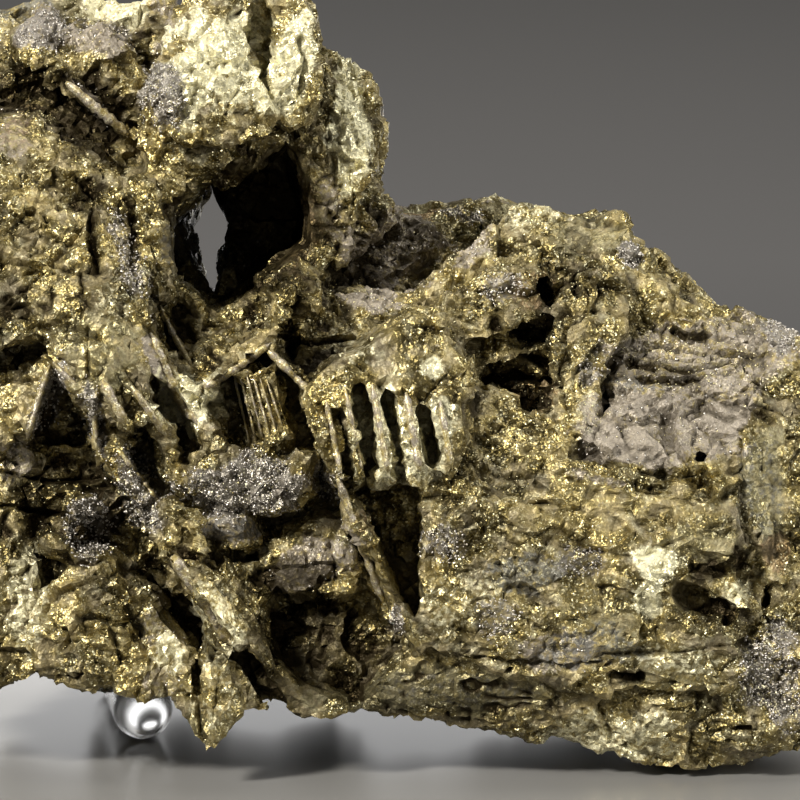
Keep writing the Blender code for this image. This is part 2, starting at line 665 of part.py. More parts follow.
def joined_chunks():
    """The union of every chunk, less every cutter, as one mesh."""
    bm = bmesh.new()
    bmesh.ops.create_cube(bm, size=8 * MM)
    bm.transform(Matrix.Translation(seen(20, 40, -10) * MM))
    seed = add_mesh("seed", bm, bpy.context.scene.collection)
    for operation, others in (("UNION", CHUNKS), ("DIFFERENCE", CUTTERS)):
        step = seed.modifiers.new(operation.title(), "BOOLEAN")
        step.operation = operation
        step.operand_type = "COLLECTION"
        step.collection = others
        step.solver = "EXACT"
        step.use_self = operation == "UNION"
    graph = bpy.context.evaluated_depsgraph_get()
    mesh = bpy.data.meshes.new_from_object(seed.evaluated_get(graph))
    for used in [seed, *CHUNKS.objects]:
        bpy.data.objects.remove(used)
    return mesh


def warp(point):
    """Shifts a point of the joined mass, in millimetres, by a few sizes of smooth noise."""
    shift = Vector((0, 0, 0))
    for size, reach in WARPS:
        shift += noise.noise_vector(point / size + Vector((size, 0, 0))) * reach
    return point + shift


def closed_skin(mesh):
    """One closed skin around the whole mass, with every overlap gone, and warped."""
    rough = add_object("rough_mass", mesh, bpy.context.scene.collection)
    skin = rough.modifiers.new("Skin", "REMESH")
    skin.mode = "VOXEL"
    skin.voxel_size = SKIN_GRAIN * MM
    graph = bpy.context.evaluated_depsgraph_get()
    made = bpy.data.meshes.new_from_object(rough.evaluated_get(graph))
    bpy.data.objects.remove(rough)
    for vert in made.vertices:
        vert.co = warp(vert.co / MM) * MM
    return made


def floor_cutter():
    """A block whose top is the surface that the specimen rests on."""
    size = 300 * MM
    bm = bmesh.new()
    bmesh.ops.create_cube(bm, size=size)
    bm.transform(Matrix.Translation((0, 0, FLOOR * MM - size / 2)))
    return add_mesh("floor_cutter", bm, FINE_CUTTERS)


def rod(name, radius, collection):
    """A round rod with domed ends, turned from half its profile and laid on the surface."""
    straight = (ROD_LENGTH - ROD_DIAMETER) / 2
    quarter = [math.pi / 2 * i / DOME_STEPS for i in range(DOME_STEPS + 1)]
    lower = [(radius * math.cos(a), -straight - radius * math.sin(a)) for a in quarter]
    upper = [(r, -h) for r, h in reversed(lower)]
    mesh = bpy.data.meshes.new(name)
    profile = [(max(r, 0) * MM, 0, h * MM) for r, h in upper + lower]
    mesh.from_pydata(profile, [(i, i + 1) for i in range(len(profile) - 1)], [])
    made = add_object(name, mesh, collection)
    turned = made.modifiers.new("Turned", "SCREW")
    turned.steps = turned.render_steps = ROD_SIDES
    turned.use_merge_vertices = True
    turned.merge_threshold = 0.01 * MM
    along = Vector((-math.sin(ROD_TURN), math.cos(ROD_TURN), 0))
    near = Vector((*ROD_NEAR_END, FLOOR + ROD_DIAMETER / 2))
    made.location = (near + along * ROD_LENGTH / 2) * MM
    made.rotation_euler = along.to_track_quat("Z", "X").to_euler()
    made.data.shade_smooth()
    return made


def material(name, colour, roughness, metallic, transmission=0.0):
    made = bpy.data.materials.new(name)
    made.use_nodes = True
    made.diffuse_color = (*colour, 1)
    shader = made.node_tree.nodes["Principled BSDF"]
    shader.inputs["Base Color"].default_value = (*colour, 1)
    shader.inputs["Roughness"].default_value = roughness
    shader.inputs["Metallic"].default_value = metallic
    shader.inputs["Transmission Weight"].default_value = transmission
    return made


def box_of(objects):
    graph = bpy.context.evaluated_depsgraph_get()
    corners = []
    for part in objects:
        done = part.evaluated_get(graph)
        mesh = done.to_mesh()
        corners += [done.matrix_world @ v.co for v in mesh.vertices]
        done.to_mesh_clear()
    lows = Vector([min(c[i] for c in corners) for i in range(3)])
    highs = Vector([max(c[i] for c in corners) for i in range(3)])
    return lows, highs


def stand_on_origin(objects):
    """Puts the middle of the bottom of the whole at the origin."""
    lows, highs = box_of(objects)
    frame = bpy.data.objects.new("specimen_frame", None)
    CHUNKS.objects.link(frame)
    for part in list(bpy.data.objects):
        if part != frame:
            part.parent = frame
    frame.location = (-(lows.x + highs.x) / 2, -(lows.y + highs.y) / 2, -FLOOR * MM)


def build_stone():
    core_masses()
    back_blocks()
    left_shoulder()
    tower()
    cave()
    plates_below_cave()
    front_block()
    right_ridge()
    right_plates()
    right_front()
    lower_middle()
    lower_left()
    bearing_lobe()
    mesh = closed_skin(joined_chunks())
    mesh.name = "arsenopyrite"
    stone = add_object("arsenopyrite", mesh, CHUNKS)
    coarse = stone.vertex_groups.new(name="coarse")
    for vert in mesh.vertices:
        towards_back = min(1, max(0, (vert.co.y / MM - FINE_DEPTH) / (COARSE_DEPTH - FINE_DEPTH)))
        coarse.add([vert.index], FRONT_COARSENESS + (1 - FRONT_COARSENESS) * towards_back, "REPLACE")
    fewer = stone.modifiers.new("Fewer faces", "DECIMATE")
    fewer.ratio = STONE_TRIANGLES / (2 * len(mesh.polygons))
    fewer.use_collapse_triangulate = True
    fewer.vertex_group = coarse.name
    rod("rod_seat", ROD_DIAMETER / 2 + REST_GAP, FINE_CUTTERS)
    floor_cutter()
    crisp = stone.modifiers.new("Crisp cuts", "BOOLEAN")
    crisp.operation = "DIFFERENCE"
    crisp.operand_type = "COLLECTION"
    crisp.collection = FINE_CUTTERS
    crisp.solver = "EXACT"
    stone.data.materials.append(material("brassy_stone", (0.42, 0.37, 0.2), 0.38, 1.0))
    return stone


def build_rod():
    made = rod("display_rod", ROD_DIAMETER / 2, CHUNKS)
    made.data.materials.append(material("clear_plastic", (1.0, 1.0, 1.0), 0.04, 0.0, 1.0))
    return made


clear_scene()
noise.seed_set(WARP_SEED)
CHUNKS = new_collection("arsenopyrite_specimen")
CUTTERS = new_collection("cutters")
FINE_CUTTERS = new_collection("fine_cutters")
stand_on_origin([build_stone(), build_rod()])
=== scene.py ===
"""The finish of an arsenopyrite specimen: broken brassy faces, striations, druse and crystal grains, with
painted light and painted shade in places.

The skin of the stone starts from its solid. It is carved a little by fields that are worked out in
space, and by listed cracks, ribs and patches. Those are given as they are seen in the front
view, in the pixels of an 800 by 800 frame, and reach back into the stone from there. Thin blades
and small crystals then grow on the skin, and the clear rod is turned from a finer profile.
"""

import itertools
import math
import random

import bmesh
import bpy
import numpy as np
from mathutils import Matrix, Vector
from mathutils.bvhtree import BVHTree


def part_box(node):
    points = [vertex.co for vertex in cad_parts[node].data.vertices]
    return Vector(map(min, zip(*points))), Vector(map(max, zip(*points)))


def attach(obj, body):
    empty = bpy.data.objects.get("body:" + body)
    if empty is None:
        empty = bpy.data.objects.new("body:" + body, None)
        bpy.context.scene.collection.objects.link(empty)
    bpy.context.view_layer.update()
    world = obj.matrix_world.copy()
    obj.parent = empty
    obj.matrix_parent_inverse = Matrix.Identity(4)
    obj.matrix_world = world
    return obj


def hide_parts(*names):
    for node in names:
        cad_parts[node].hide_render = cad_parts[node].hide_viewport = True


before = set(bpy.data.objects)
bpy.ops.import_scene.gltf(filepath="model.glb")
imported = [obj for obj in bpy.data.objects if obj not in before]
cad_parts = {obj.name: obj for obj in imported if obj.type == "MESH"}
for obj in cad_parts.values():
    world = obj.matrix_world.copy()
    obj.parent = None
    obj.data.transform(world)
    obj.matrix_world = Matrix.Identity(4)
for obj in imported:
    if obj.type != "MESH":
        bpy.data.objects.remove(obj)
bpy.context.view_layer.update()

MM = 0.001

# The front view: how far the eye is, how steeply it looks down, and the pixel of its middle.
SIGHT_DISTANCE = 700.0
SIGHT_DROP = math.radians(6.0)
SIGHT_HEIGHT = 61.7
PIXELS_PER_MM = 6.0
MIDDLE_PIXEL = 400.0
BASE_PIXEL = 770.0
FRAME_PIXELS = 800.0
SENSOR = 36.0

# The clear rod, whose place gives the view's own origin in the frame, and how deep in the view the
# stone's foot is.
ROD_DIAMETER = 10.0
ROD_LENGTH = 56.0
ROD_NEAR_END = (-42.0, -13.7)
ROD_TURN = math.radians(8.0)
FOOT_DEPTH = -30.0

# The stone's skin: the size of its even faces in millimetres, how many triangles it keeps, and how
# coarse it is in front of one depth of the view and behind another.
SKIN_GRAIN = 0.5
SKIN_TRIANGLES = 196000
FRONT_DEPTH = -12.0
BACK_DEPTH = 22.0
BACK_COARSENESS = 0.5
FRONT_COARSENESS = 0.15


def sight_axes():
    """Which way the front view looks, and which way is up in it."""
    ahead = np.array([0.0, math.cos(SIGHT_DROP), -math.sin(SIGHT_DROP)])
    up = np.array([0.0, math.sin(SIGHT_DROP), math.cos(SIGHT_DROP)])
    return ahead, up


AHEAD, UP = sight_axes()


def sight_origin():
    """Where the view's own origin lies in the frame, in millimetres, from the box of the rod."""
    low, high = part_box("display_rod")
    middle = (low + high) / 2 / MM
    reach = ROD_LENGTH / 2
    foot = AHEAD[2] * FOOT_DEPTH - UP[2] * SIGHT_HEIGHT * (1 + FOOT_DEPTH / SIGHT_DISTANCE)
    return np.array([
        middle.x - ROD_NEAR_END[0] + math.sin(ROD_TURN) * reach,
        middle.y - ROD_NEAR_END[1] - math.cos(ROD_TURN) * reach,
        -foot,
    ])


ORIGIN = sight_origin()


def in_view(points):
    """The pixel across, the pixel down and the depth of points that are given in millimetres."""
    local = points - ORIGIN
    depth = local @ AHEAD
    spread = 1 + depth / SIGHT_DISTANCE
    across = local[:, 0] / spread
    height = local @ UP / spread + SIGHT_HEIGHT
    return MIDDLE_PIXEL + PIXELS_PER_MM * across, BASE_PIXEL - PIXELS_PER_MM * height, depth


def out_of_view(across, down, depth):
    """The point in millimetres that is seen at a pixel, at a depth."""
    spread = 1 + depth / SIGHT_DISTANCE
    right = (across - MIDDLE_PIXEL) / PIXELS_PER_MM * spread
    height = ((BASE_PIXEL - down) / PIXELS_PER_MM - SIGHT_HEIGHT) * spread
    return ORIGIN + np.array([right, 0.0, 0.0]) + height * UP + depth * AHEAD


# Fields in space.

# A random direction is made 1 long, unless it starts out shorter than this.
SHORTEST_WAY = 0.2

# The twinned crystals that the ledges are on are about this large, in millimetres, and a ledge
# rises over this share of its pitch.
TWIN_SIZE = 11.0
LEDGE_FRONT = 0.75

# Large odd numbers that stir a cell's place and salt into one number, then how far its bits are
# folded over before each further stir, and after the last.
STIR_X = np.uint64(0x9E3779B97F4A7C15)
STIR_Y = np.uint64(0xC2B2AE3D27D4EB4F)
STIR_Z = np.uint64(0x165667B19E3779F9)
STIR_SALT = np.uint64(0x27D4EB2F165667C5)
FOLDS_AND_STIRS = ((30, 0xBF58476D1CE4E5B9), (27, 0x94D049BB133111EB))
LAST_FOLD = 31

# The three random numbers come from runs of this many bits, which start at these bits.
SHARE_BITS = 20
SHARE_STARTS = (0, 21, 42)


def lattice_random(cell, salt):
    """Three repeatable random numbers from 0 to 1 for each cell of whole numbers."""
    with np.errstate(over="ignore"):
        x, y, z = (cell[:, i].astype(np.int64).astype(np.uint64) for i in range(3))
        mixed = x * STIR_X ^ y * STIR_Y
        mixed ^= z * STIR_Z + np.uint64(salt) * STIR_SALT
        for fold, stir in FOLDS_AND_STIRS:
            mixed ^= mixed >> np.uint64(fold)
            mixed *= np.uint64(stir)
        mixed ^= mixed >> np.uint64(LAST_FOLD)
    top = 1 << SHARE_BITS
    shares = []
    for start in SHARE_STARTS:
        bits = (mixed >> np.uint64(start)) & np.uint64(top - 1)
        shares.append(bits.astype(np.float32) / float(top))
    return np.stack(shares, axis=1)


def smooth_noise(points, size, salt):
    """Smooth noise from -1 to 1, with bumps about size across."""
    scaled = points / size
    base = np.floor(scaled)
    share = scaled - base
    share = share * share * (3 - 2 * share)
    total = np.zeros(len(points), np.float32)
    for corner in itertools.product((0, 1), repeat=3):
        weight = np.ones(len(points), np.float32)
        for axis in range(3):
            weight *= share[:, axis] if corner[axis] else 1 - share[:, axis]
        total += weight * lattice_random(base + corner, salt)[:, 0]
    return total * 2 - 1


def rough_noise(points, size, octaves, salt):
    """Noise with finer noise on it, each octave half the size and half the height."""
    total = np.zeros(len(points), np.float32)
    for octave in range(octaves):
        total += smooth_noise(points, size / 2**octave, salt + octave) / 2**octave
    return total


def cells(points, size, salt):
    """The cell of scattered seeds that each point is in: its offset from the seed, in millimetres,
    the cell's three random numbers, and how far the point is inside the cell's border."""
    scaled = (points / size).astype(np.float32)
    base = np.floor(scaled)
    nearest = np.full(len(points), np.inf, np.float32)
    second = nearest.copy()
    offset = np.zeros_like(scaled)
    chosen = np.zeros_like(scaled)
    for step in itertools.product((-1, 0, 1), repeat=3):
        cell = base + np.array(step, np.float32)
        away = scaled - cell - lattice_random(cell, salt)
        distance = np.einsum("ij,ij->i", away, away)
        closer = distance < nearest
        second = np.where(closer, nearest, np.minimum(second, distance))
        nearest = np.where(closer, distance, nearest)
        offset[closer] = away[closer]
        chosen[closer] = cell[closer]
    border = (np.sqrt(second) - np.sqrt(nearest)) * size
    return offset * size, lattice_random(chosen, salt + 1), border


def directions(chance):
    """A direction from each row of three random numbers."""
    way = chance * 2 - 1
    return way / np.maximum(np.linalg.norm(way, axis=1, keepdims=True), SHORTEST_WAY)


def facets(points, size, slope, salt, squeeze=(1.0, 1.0, 1.0)):
    """Heights of flat broken facets, each cell of the stone a plane that leans its own way."""
    offset, chance, _ = cells(points * np.array(squeeze), size, salt)
    return np.einsum("ij,ij->i", offset, directions(chance)) * slope


def ledges(points, pitch, salt):
    """Fine parallel ledges, 0 to 1 high, whose run changes from one twinned crystal to the next."""
    warped = points + 1.5 * smooth_noise(points, 5.0, salt + 7)[:, None]
    run = directions(cells(warped, TWIN_SIZE, salt)[1])
    phase = np.einsum("ij,ij->i", points, run) / pitch + 0.6 * smooth_noise(points, 3.0, salt + 8)
    rise = phase - np.floor(phase)
    return np.minimum(rise / LEDGE_FRONT, (1 - rise) / (1 - LEDGE_FRONT))


# Patches, ribs and cracks, as they are seen in the front view.

# How near and how deep the front view's patches reach, and how far they fade there, in millimetres.
NEAREST = -80.0
DEEPEST = 6.0
DEPTH_FADE = 3.0

# Where a patch starts to fade and has faded, as shares of its radii, and how much noise frays it.
PATCH_EDGE = (0.8, 1.05)
PATCH_FRAY = 0.45


def smooth_step(value, low, high):
    """0 below low and 1 above high, with a soft rise between."""
    share = np.clip((value - low) / (high - low), 0, 1)
    return share * share * (3 - 2 * share)


class Sight:
    """Points of the stone with their place in the front view.

    Noise in the stone frays the edge of every patch and stroke on them.
    """

    def __init__(self, points):
        self.points = points
        self.across, self.down, self.depth = in_view(points)
        self.fray = rough_noise(points, 5.0, 5, 40)

    def within(self, far):
        """1 from the nearest depth to far, fading to 0 outside."""
        behind = smooth_step(self.depth, far, far + DEPTH_FADE)
        return smooth_step(self.depth, NEAREST - DEPTH_FADE, NEAREST) * (1 - behind)

    def patch(self, middle, radii, turn=0.0, far=DEEPEST, fray=PATCH_FRAY):
        """1 inside an ellipse with a ragged edge, fading to 0 outside."""
        angle = math.radians(turn)
        right = self.across - middle[0]
        below = self.down - middle[1]
        along = (right * math.cos(angle) + below * math.sin(angle)) / radii[0]
        aside = (below * math.cos(angle) - right * math.sin(angle)) / radii[1]
        reach = np.sqrt(along**2 + aside**2) + fray * self.fray
        return (1 - smooth_step(reach, *PATCH_EDGE)) * self.within(far)

    def stroke(self, line, width, far=DEEPEST):
        """1 on a line through pixels, fading to 0 at half the width to each side."""
        nearest = np.full(len(self.points), np.inf)
        for (ax, ay), (bx, by) in zip(line, line[1:]):
            run = np.array([bx - ax, by - ay], float)
            length = run @ run
            share = ((self.across - ax) * run[0] + (self.down - ay) * run[1]) / length
            share = np.clip(share, 0, 1)
            gap = np.hypot(self.across - ax - share * run[0], self.down - ay - share * run[1])
            nearest = np.minimum(nearest, gap)
        nearest = nearest + self.fray
        return (1 - smooth_step(nearest, 0.2 * width, 0.5 * width)) * self.within(far)


# Thin matt plates that lie on the terrace and under the block: the middle and radii of each in
# pixels, its turn in degrees, and how strongly its finish shows.
PLATES = (
    ((646, 405), (44, 18), 5, 1.0),
    ((622, 445), (46, 24), 4, 1.0),
    ((724, 416), (36, 18), -14, 1.0),
    ((722, 385), (20, 9), 0, 0.9),
    ((741, 341), (28, 8), 0, 0.9),
    ((312, 558), (46, 34), -8, 0.7),
    ((378, 298), (26, 16), 0, 0.9),
    ((600, 480), (40, 8), 12, 0.6),
)

# Where each finish shows, painted light and painted shade among them: its name, then its
# patches, given as the plates are.
PATCHES = {
    "silver": (
        ((160, 92), (22, 32), -15, 0.8),
        ((250, 485), (78, 30), 3, 1.0),
        ((48, 400), (12, 40), 20, 0.9),
        ((95, 420), (8, 44), -12, 0.8),
        ((46, 30), (26, 24), 0, 0.7),
        ((632, 258), (14, 20), -20, 0.9),
        ((780, 333), (16, 18), 0, 0.8),
        ((90, 528), (24, 30), 0, 0.8),
        ((137, 485), (20, 42), -18, 0.7),
        ((445, 545), (22, 20), 0, 0.6),
        ((578, 560), (26, 16), 0, 0.5),
        ((770, 670), (34, 50), 0, 0.7),
        ((500, 285), (22, 16), 0, 0.6),
        ((495, 620), (26, 22), 0, 0.5),
        ((590, 375), (10, 14), 0, 0.7),
        ((130, 262), (14, 52), -22, 0.6),
        ((395, 622), (9, 13), 0, 0.8),
    ),
    "taupe": PLATES + (
        ((378, 258), (42, 40), 0, 0.7),
        ((95, 108), (9, 34), -40, 0.9),
        ((168, 385), (12, 44), -32, 0.8),
        ((240, 530), (32, 15), 0, 0.7),
        ((22, 460), (24, 30), 0, 0.5),
        ((15, 132), (18, 24), 0, 0.5),
        ((330, 200), (12, 40), -10, 0.5),
        ((560, 650), (44, 22), 0, 0.6),
        ((450, 230), (50, 26), 0, 0.7),
        ((160, 650), (24, 46), 0, 0.35),
        ((96, 24), (84, 30), 0, 0.8),
        ((700, 360), (90, 50), 0, 0.6),
        ((655, 425), (84, 46), 5, 0.75),
        ((395, 250), (60, 44), 0, 0.6),
    ),
    # Painted light: paler colour on the faces that catch the lamps most.
    "pale": (
        ((236, 76), (44, 54), 0, 1.0),
        ((185, 400), (44, 44), 0, 0.85),
        ((470, 605), (40, 40), 0, 0.35),
        ((222, 60), (58, 68), 0, 0.75),
        ((350, 120), (22, 80), 0, 0.8),
        ((285, 60), (24, 60), 0, 0.8),
        ((433, 366), (14, 14), 0, 1.0),
        ((352, 350), (30, 30), 0, 0.3),
        ((395, 436), (62, 50), 0, 0.65),
        ((656, 560), (28, 17), 0, 1.0),
        ((650, 603), (15, 24), 0, 1.0),
        ((215, 700), (24, 40), 0, 0.25),
        ((610, 735), (80, 30), 10, 0.55),
        ((30, 590), (20, 60), 0, 0.5),
        ((735, 595), (18, 18), 0, 0.6),
        ((165, 655), (18, 20), 0, 0.6),
        ((525, 215), (36, 16), 0, 0.4),
        ((118, 304), (22, 24), 0, 0.3),
        ((212, 625), (28, 40), -35, 0.5),
        ((285, 85), (18, 26), 0, 0.6),
        ((578, 385), (24, 50), -10, 0.25),
        ((210, 400), (10, 40), 40, 0.5),
        ((690, 660), (60, 14), 8, 0.4),
    ),
    "green": (
        ((768, 490), (24, 70), 0, 0.8),
        ((450, 690), (110, 22), 6, 0.8),
        ((690, 545), (46, 24), 0, 0.7),
        ((590, 235), (44, 22), 5, 0.6),
        ((100, 350), (40, 50), 0, 0.6),
        ((600, 620), (60, 30), 0, 0.5),
        ((210, 730), (30, 22), 0, 0.6),
        ((690, 680), (80, 26), 5, 0.5),
        ((345, 700), (60, 16), 0, 0.6),
    ),
    "slate": (
        ((588, 648), (58, 24), 0, 0.5),
        ((522, 572), (40, 22), 0, 0.7),
        ((632, 256), (12, 18), -20, 0.8),
        ((160, 78), (22, 20), 0, 0.6),
        ((180, 240), (22, 34), 0, 0.5),
        ((765, 500), (26, 60), 0, 0.35),
        ((450, 690), (90, 16), 6, 0.35),
        ((240, 530), (34, 14), 0, 0.5),
        ((640, 385), (34, 8), 8, 0.5),
    ),
    "rust": (
        ((775, 550), (16, 22), 0, 0.9),
        ((20, 125), (20, 22), 0, 0.4),
        ((540, 395), (30, 18), 0, 0.6),
        ((380, 520), (24, 14), 0, 0.4),
        ((535, 290), (20, 20), 0, 0.6),
        ((300, 215), (22, 60), 0, 0.6),
    ),
    # Painted shade: darker colour in recesses, furrows, the cave and under overhangs, with a little darker
    # stone.
    "dark_and_shade": (
        ((270, 220), (64, 80), 20, 0.9),
        ((545, 330), (40, 90), -8, 0.3),
        ((395, 555), (24, 56), -20, 0.2),
        ((325, 640), (74, 44), 8, 0.8),
        ((180, 610), (12, 60), -38, 0.7),
        ((275, 685), (14, 44), -40, 0.8),
        ((60, 505), (64, 60), 0, 0.75),
        ((90, 118), (44, 46), 40, 0.95),
        ((28, 88), (48, 30), 0, 0.9),
        ((450, 700), (120, 24), 8, 0.55),
        ((345, 255), (50, 50), 0, 0.4),
        ((60, 440), (36, 40), 0, 0.4),
        ((718, 615), (26, 24), 0, 0.7),
        ((90, 190), (20, 22), 0, 0.8),
        ((93, 240), (5, 34), 0, 0.9),
        ((132, 236), (5, 36), -8, 0.9),
        ((180, 236), (22, 38), 0, 0.75),
        ((196, 345), (66, 22), 45, 0.6),
        ((318, 350), (38, 28), 0, 0.65),
        ((543, 362), (20, 64), 0, 0.5),
        ((515, 378), (34, 9), 0, 0.6),
        ((500, 320), (34, 26), 0, 0.4),
        ((690, 335), (20, 7), 0, 0.9),
        ((650, 372), (44, 12), 8, 0.6),
        ((760, 412), (13, 10), 0, 0.9),
        ((708, 571), (25, 9), 0, 1.0),
        ((740, 558), (8, 14), 0, 1.0),
        ((768, 554), (11, 7), 0, 0.9),
        ((628, 676), (15, 9), 0, 1.0),
        ((195, 560), (44, 12), 0, 0.6),
        ((345, 690), (70, 14), 0, 0.5),
        ((52, 682), (54, 12), 0, 0.6),
        ((450, 440), (30, 60), 0, 0.25),
        ((420, 240), (56, 20), -25, 0.5),
        ((30, 300), (50, 20), -10, 0.4),
        ((565, 290), (60, 40), 0, 0.35),
        ((300, 574), (46, 30), 0, 0.85),
        ((85, 290), (54, 24), 0, 0.5),
    ),
    "smooth": (
        ((312, 556), (42, 28), -8, 0.7),
        ((590, 235), (44, 22), 5, 0.5),
        ((395, 345), (50, 34), 0, 0.6),
        ((768, 490), (24, 70), 0, 0.6),
        ((690, 545), (44, 24), 0, 0.6),
        ((95, 108), (9, 34), -40, 0.9),
        ((168, 385), (12, 44), -32, 0.8),
        ((165, 650), (22, 46), 0, 0.6),
        ((58, 225), (14, 16), 0, 0.8),
        ((15, 132), (18, 24), 0, 0.7),
        ((450, 690), (110, 20), 6, 0.5),
        ((680, 668), (76, 20), 8, 0.6),
        ((240, 530), (32, 15), 0, 0.6),
        ((50, 405), (20, 34), 0, 0.9),
        ((212, 625), (24, 60), -35, 0.6),
        ((390, 362), (84, 46), 0, 0.8),
        ((445, 425), (32, 50), 0, 0.7),
        ((215, 712), (40, 46), 0, 0.6),
        ((180, 236), (24, 38), 0, 0.7),
        ((305, 685), (34, 30), -20, 0.7),
        ((395, 560), (24, 50), -10, 0.6),
        ((110, 350), (34, 40), 0, 0.6),
        ((285, 205), (50, 60), 20, 0.7),
        ((430, 620), (24, 50), 0, 0.6),
        ((640, 500), (110, 18), 10, 0.6),
        ((610, 590), (120, 50), 0, 0.35),
        ((660, 640), (110, 30), 5, 0.45),
    ),
    "granular": (
        ((232, 70), (56, 66), 0, 1.0),
        ((345, 130), (40, 90), 0, 0.8),
        ((160, 92), (22, 36), -15, 1.0),
        ((250, 485), (78, 30), 3, 1.0),
        ((560, 320), (90, 110), 0, 0.8),
        ((90, 60), (60, 50), 0, 0.9),
        ((60, 120), (60, 50), 0, 0.7),
        ((480, 470), (70, 50), 0, 0.7),
        ((760, 650), (50, 70), 0, 0.8),
        ((500, 600), (80, 60), 0, 0.5),
        ((60, 520), (60, 50), 0, 0.8),
        ((700, 350), (80, 50), 0, 0.7),
        ((360, 305), (60, 24), 0, 0.7),
        ((450, 230), (60, 30), 0, 0.7),
        ((100, 640), (60, 60), 0, 0.5),
    ),
}

# Cracks and furrows: the line, its width in pixels and its depth in millimetres.
CRACKS = (
    ([(300, 40), (306, 68), (303, 95)], 8, 1.2),
    ([(352, 357), (372, 378), (390, 395)], 5, 0.6),
    ([(450, 372), (438, 385), (425, 400)], 5, 0.6),
    ([(583, 445), (600, 452), (620, 465)], 7, 1.0),
    ([(560, 548), (640, 556), (735, 520)], 5, 0.5),
    ([(42, 618), (58, 592), (90, 580), (122, 594), (142, 632)], 9, 1.3),
    ([(62, 650), (82, 618), (110, 620), (122, 660)], 8, 1.1),
    ([(36, 588), (66, 562), (108, 560), (144, 586)], 7, 0.8),
    ([(0, 205), (40, 235), (95, 250)], 6, 0.6),
    ([(10, 280), (50, 262), (85, 275)], 5, 0.5),
    ([(195, 665), (197, 700), (203, 740)], 6, 0.8),
    ([(222, 660), (218, 690), (212, 720)], 5, 0.6),
    ([(605, 655), (680, 652), (760, 640)], 6, 0.8),
    ([(425, 655), (480, 660), (560, 668), (610, 665)], 7, 0.9),
    ([(740, 440), (744, 480), (742, 540)], 5, 0.6),
    ([(470, 480), (500, 500), (560, 505)], 6, 0.6),
    ([(20, 330), (60, 322), (100, 338)], 6, 0.6),
    ([(640, 470), (700, 480), (742, 470)], 7, 0.8),
    ([(630, 360), (680, 372), (730, 362), (760, 380)], 8, 1.0),
    ([(655, 345), (700, 352), (735, 356)], 6, 0.8),
    ([(205, 320), (245, 330), (290, 322)], 6, 0.7),
    ([(582, 452), (598, 458), (613, 467)], 9, 1.8),
    ([(660, 468), (682, 473), (704, 470)], 8, 1.6),
    ([(645, 488), (670, 485)], 6, 1.2),
    ([(673, 330), (690, 338), (707, 336)], 9, 1.6),
    ([(748, 404), (760, 414), (773, 420)], 9, 1.5),
    ([(93, 206), (90, 240), (98, 268)], 6, 1.4),
    ([(131, 204), (136, 240), (133, 268)], 6, 1.2),
    ([(75, 178), (92, 190), (104, 206)], 9, 1.2),
    ([(60, 92), (88, 118), (112, 132)], 12, 1.6),
    ([(0, 92), (30, 84), (62, 100)], 8, 1.2),
    ([(8, 70), (34, 74), (54, 66)], 7, 1.0),
    ([(0, 470), (50, 482), (100, 478)], 6, 1.0),
    ([(0, 505), (46, 512), (92, 520)], 6, 1.0),
    ([(488, 380), (520, 376), (556, 384)], 9, 1.6),
    ([(270, 330), (310, 342), (352, 336)], 7, 1.0),
    ([(640, 378), (672, 384), (700, 380)], 7, 1.2),
    ([(150, 560), (190, 605), (234, 656)], 14, 1.0),
    ([(615, 676), (640, 678)], 12, 1.6),
    ([(690, 566), (728, 574)], 10, 1.2),
    ([(89, 329), (88, 377)], 4, 0.8),
    ([(175, 560), (205, 600), (232, 640)], 4, 0.7),
    ([(270, 535), (300, 530), (335, 540)], 5, 0.5),
    ([(565, 330), (560, 370), (568, 410)], 6, 0.7),
    ([(339, 414), (352, 474)], 14, 0.8),
    ([(358, 386), (371, 464)], 18, 0.8),
    ([(384, 386), (402, 474)], 18, 0.8),
    ([(421, 402), (438, 476)], 16, 0.9),
)

# Ribs that stand proud: the line, its width in pixels and its height in millimetres.
RIBS = (
    ([(190, 395), (225, 370), (250, 355), (275, 330), (285, 310)], 9, 0.8),
    ([(105, 385), (130, 430)], 8, 0.8),
    ([(130, 385), (165, 440), (200, 500)], 9, 0.8),
    ([(335, 475), (395, 610), (420, 650)], 8, 0.7),
    ([(65, 82), (125, 135)], 7, 0.8),
    ([(50, 365), (38, 405), (25, 440)], 9, 0.8),
    ([(50, 360), (70, 385), (92, 410), (95, 440), (100, 460)], 10, 0.7),
    ([(60, 165), (95, 215), (110, 265), (130, 310), (160, 360)], 10, 0.6),
    ([(113, 200), (140, 215), (150, 260), (160, 300), (175, 330)], 9, 0.7),
    ([(35, 565), (32, 610), (45, 670)], 10, 0.6),
    ([(600, 648), (660, 640), (745, 655)], 10, 0.5),
)


def marked(sight, finish):
    """How strongly a listed finish, painted light and painted shade included, shows at each point, from 0 to
    1.
    """
    total = np.zeros(len(sight.points), np.float32)
    for middle, radii, turn, strength in PATCHES[finish]:
        total = np.maximum(total, strength * sight.patch(middle, radii, turn))
    return total


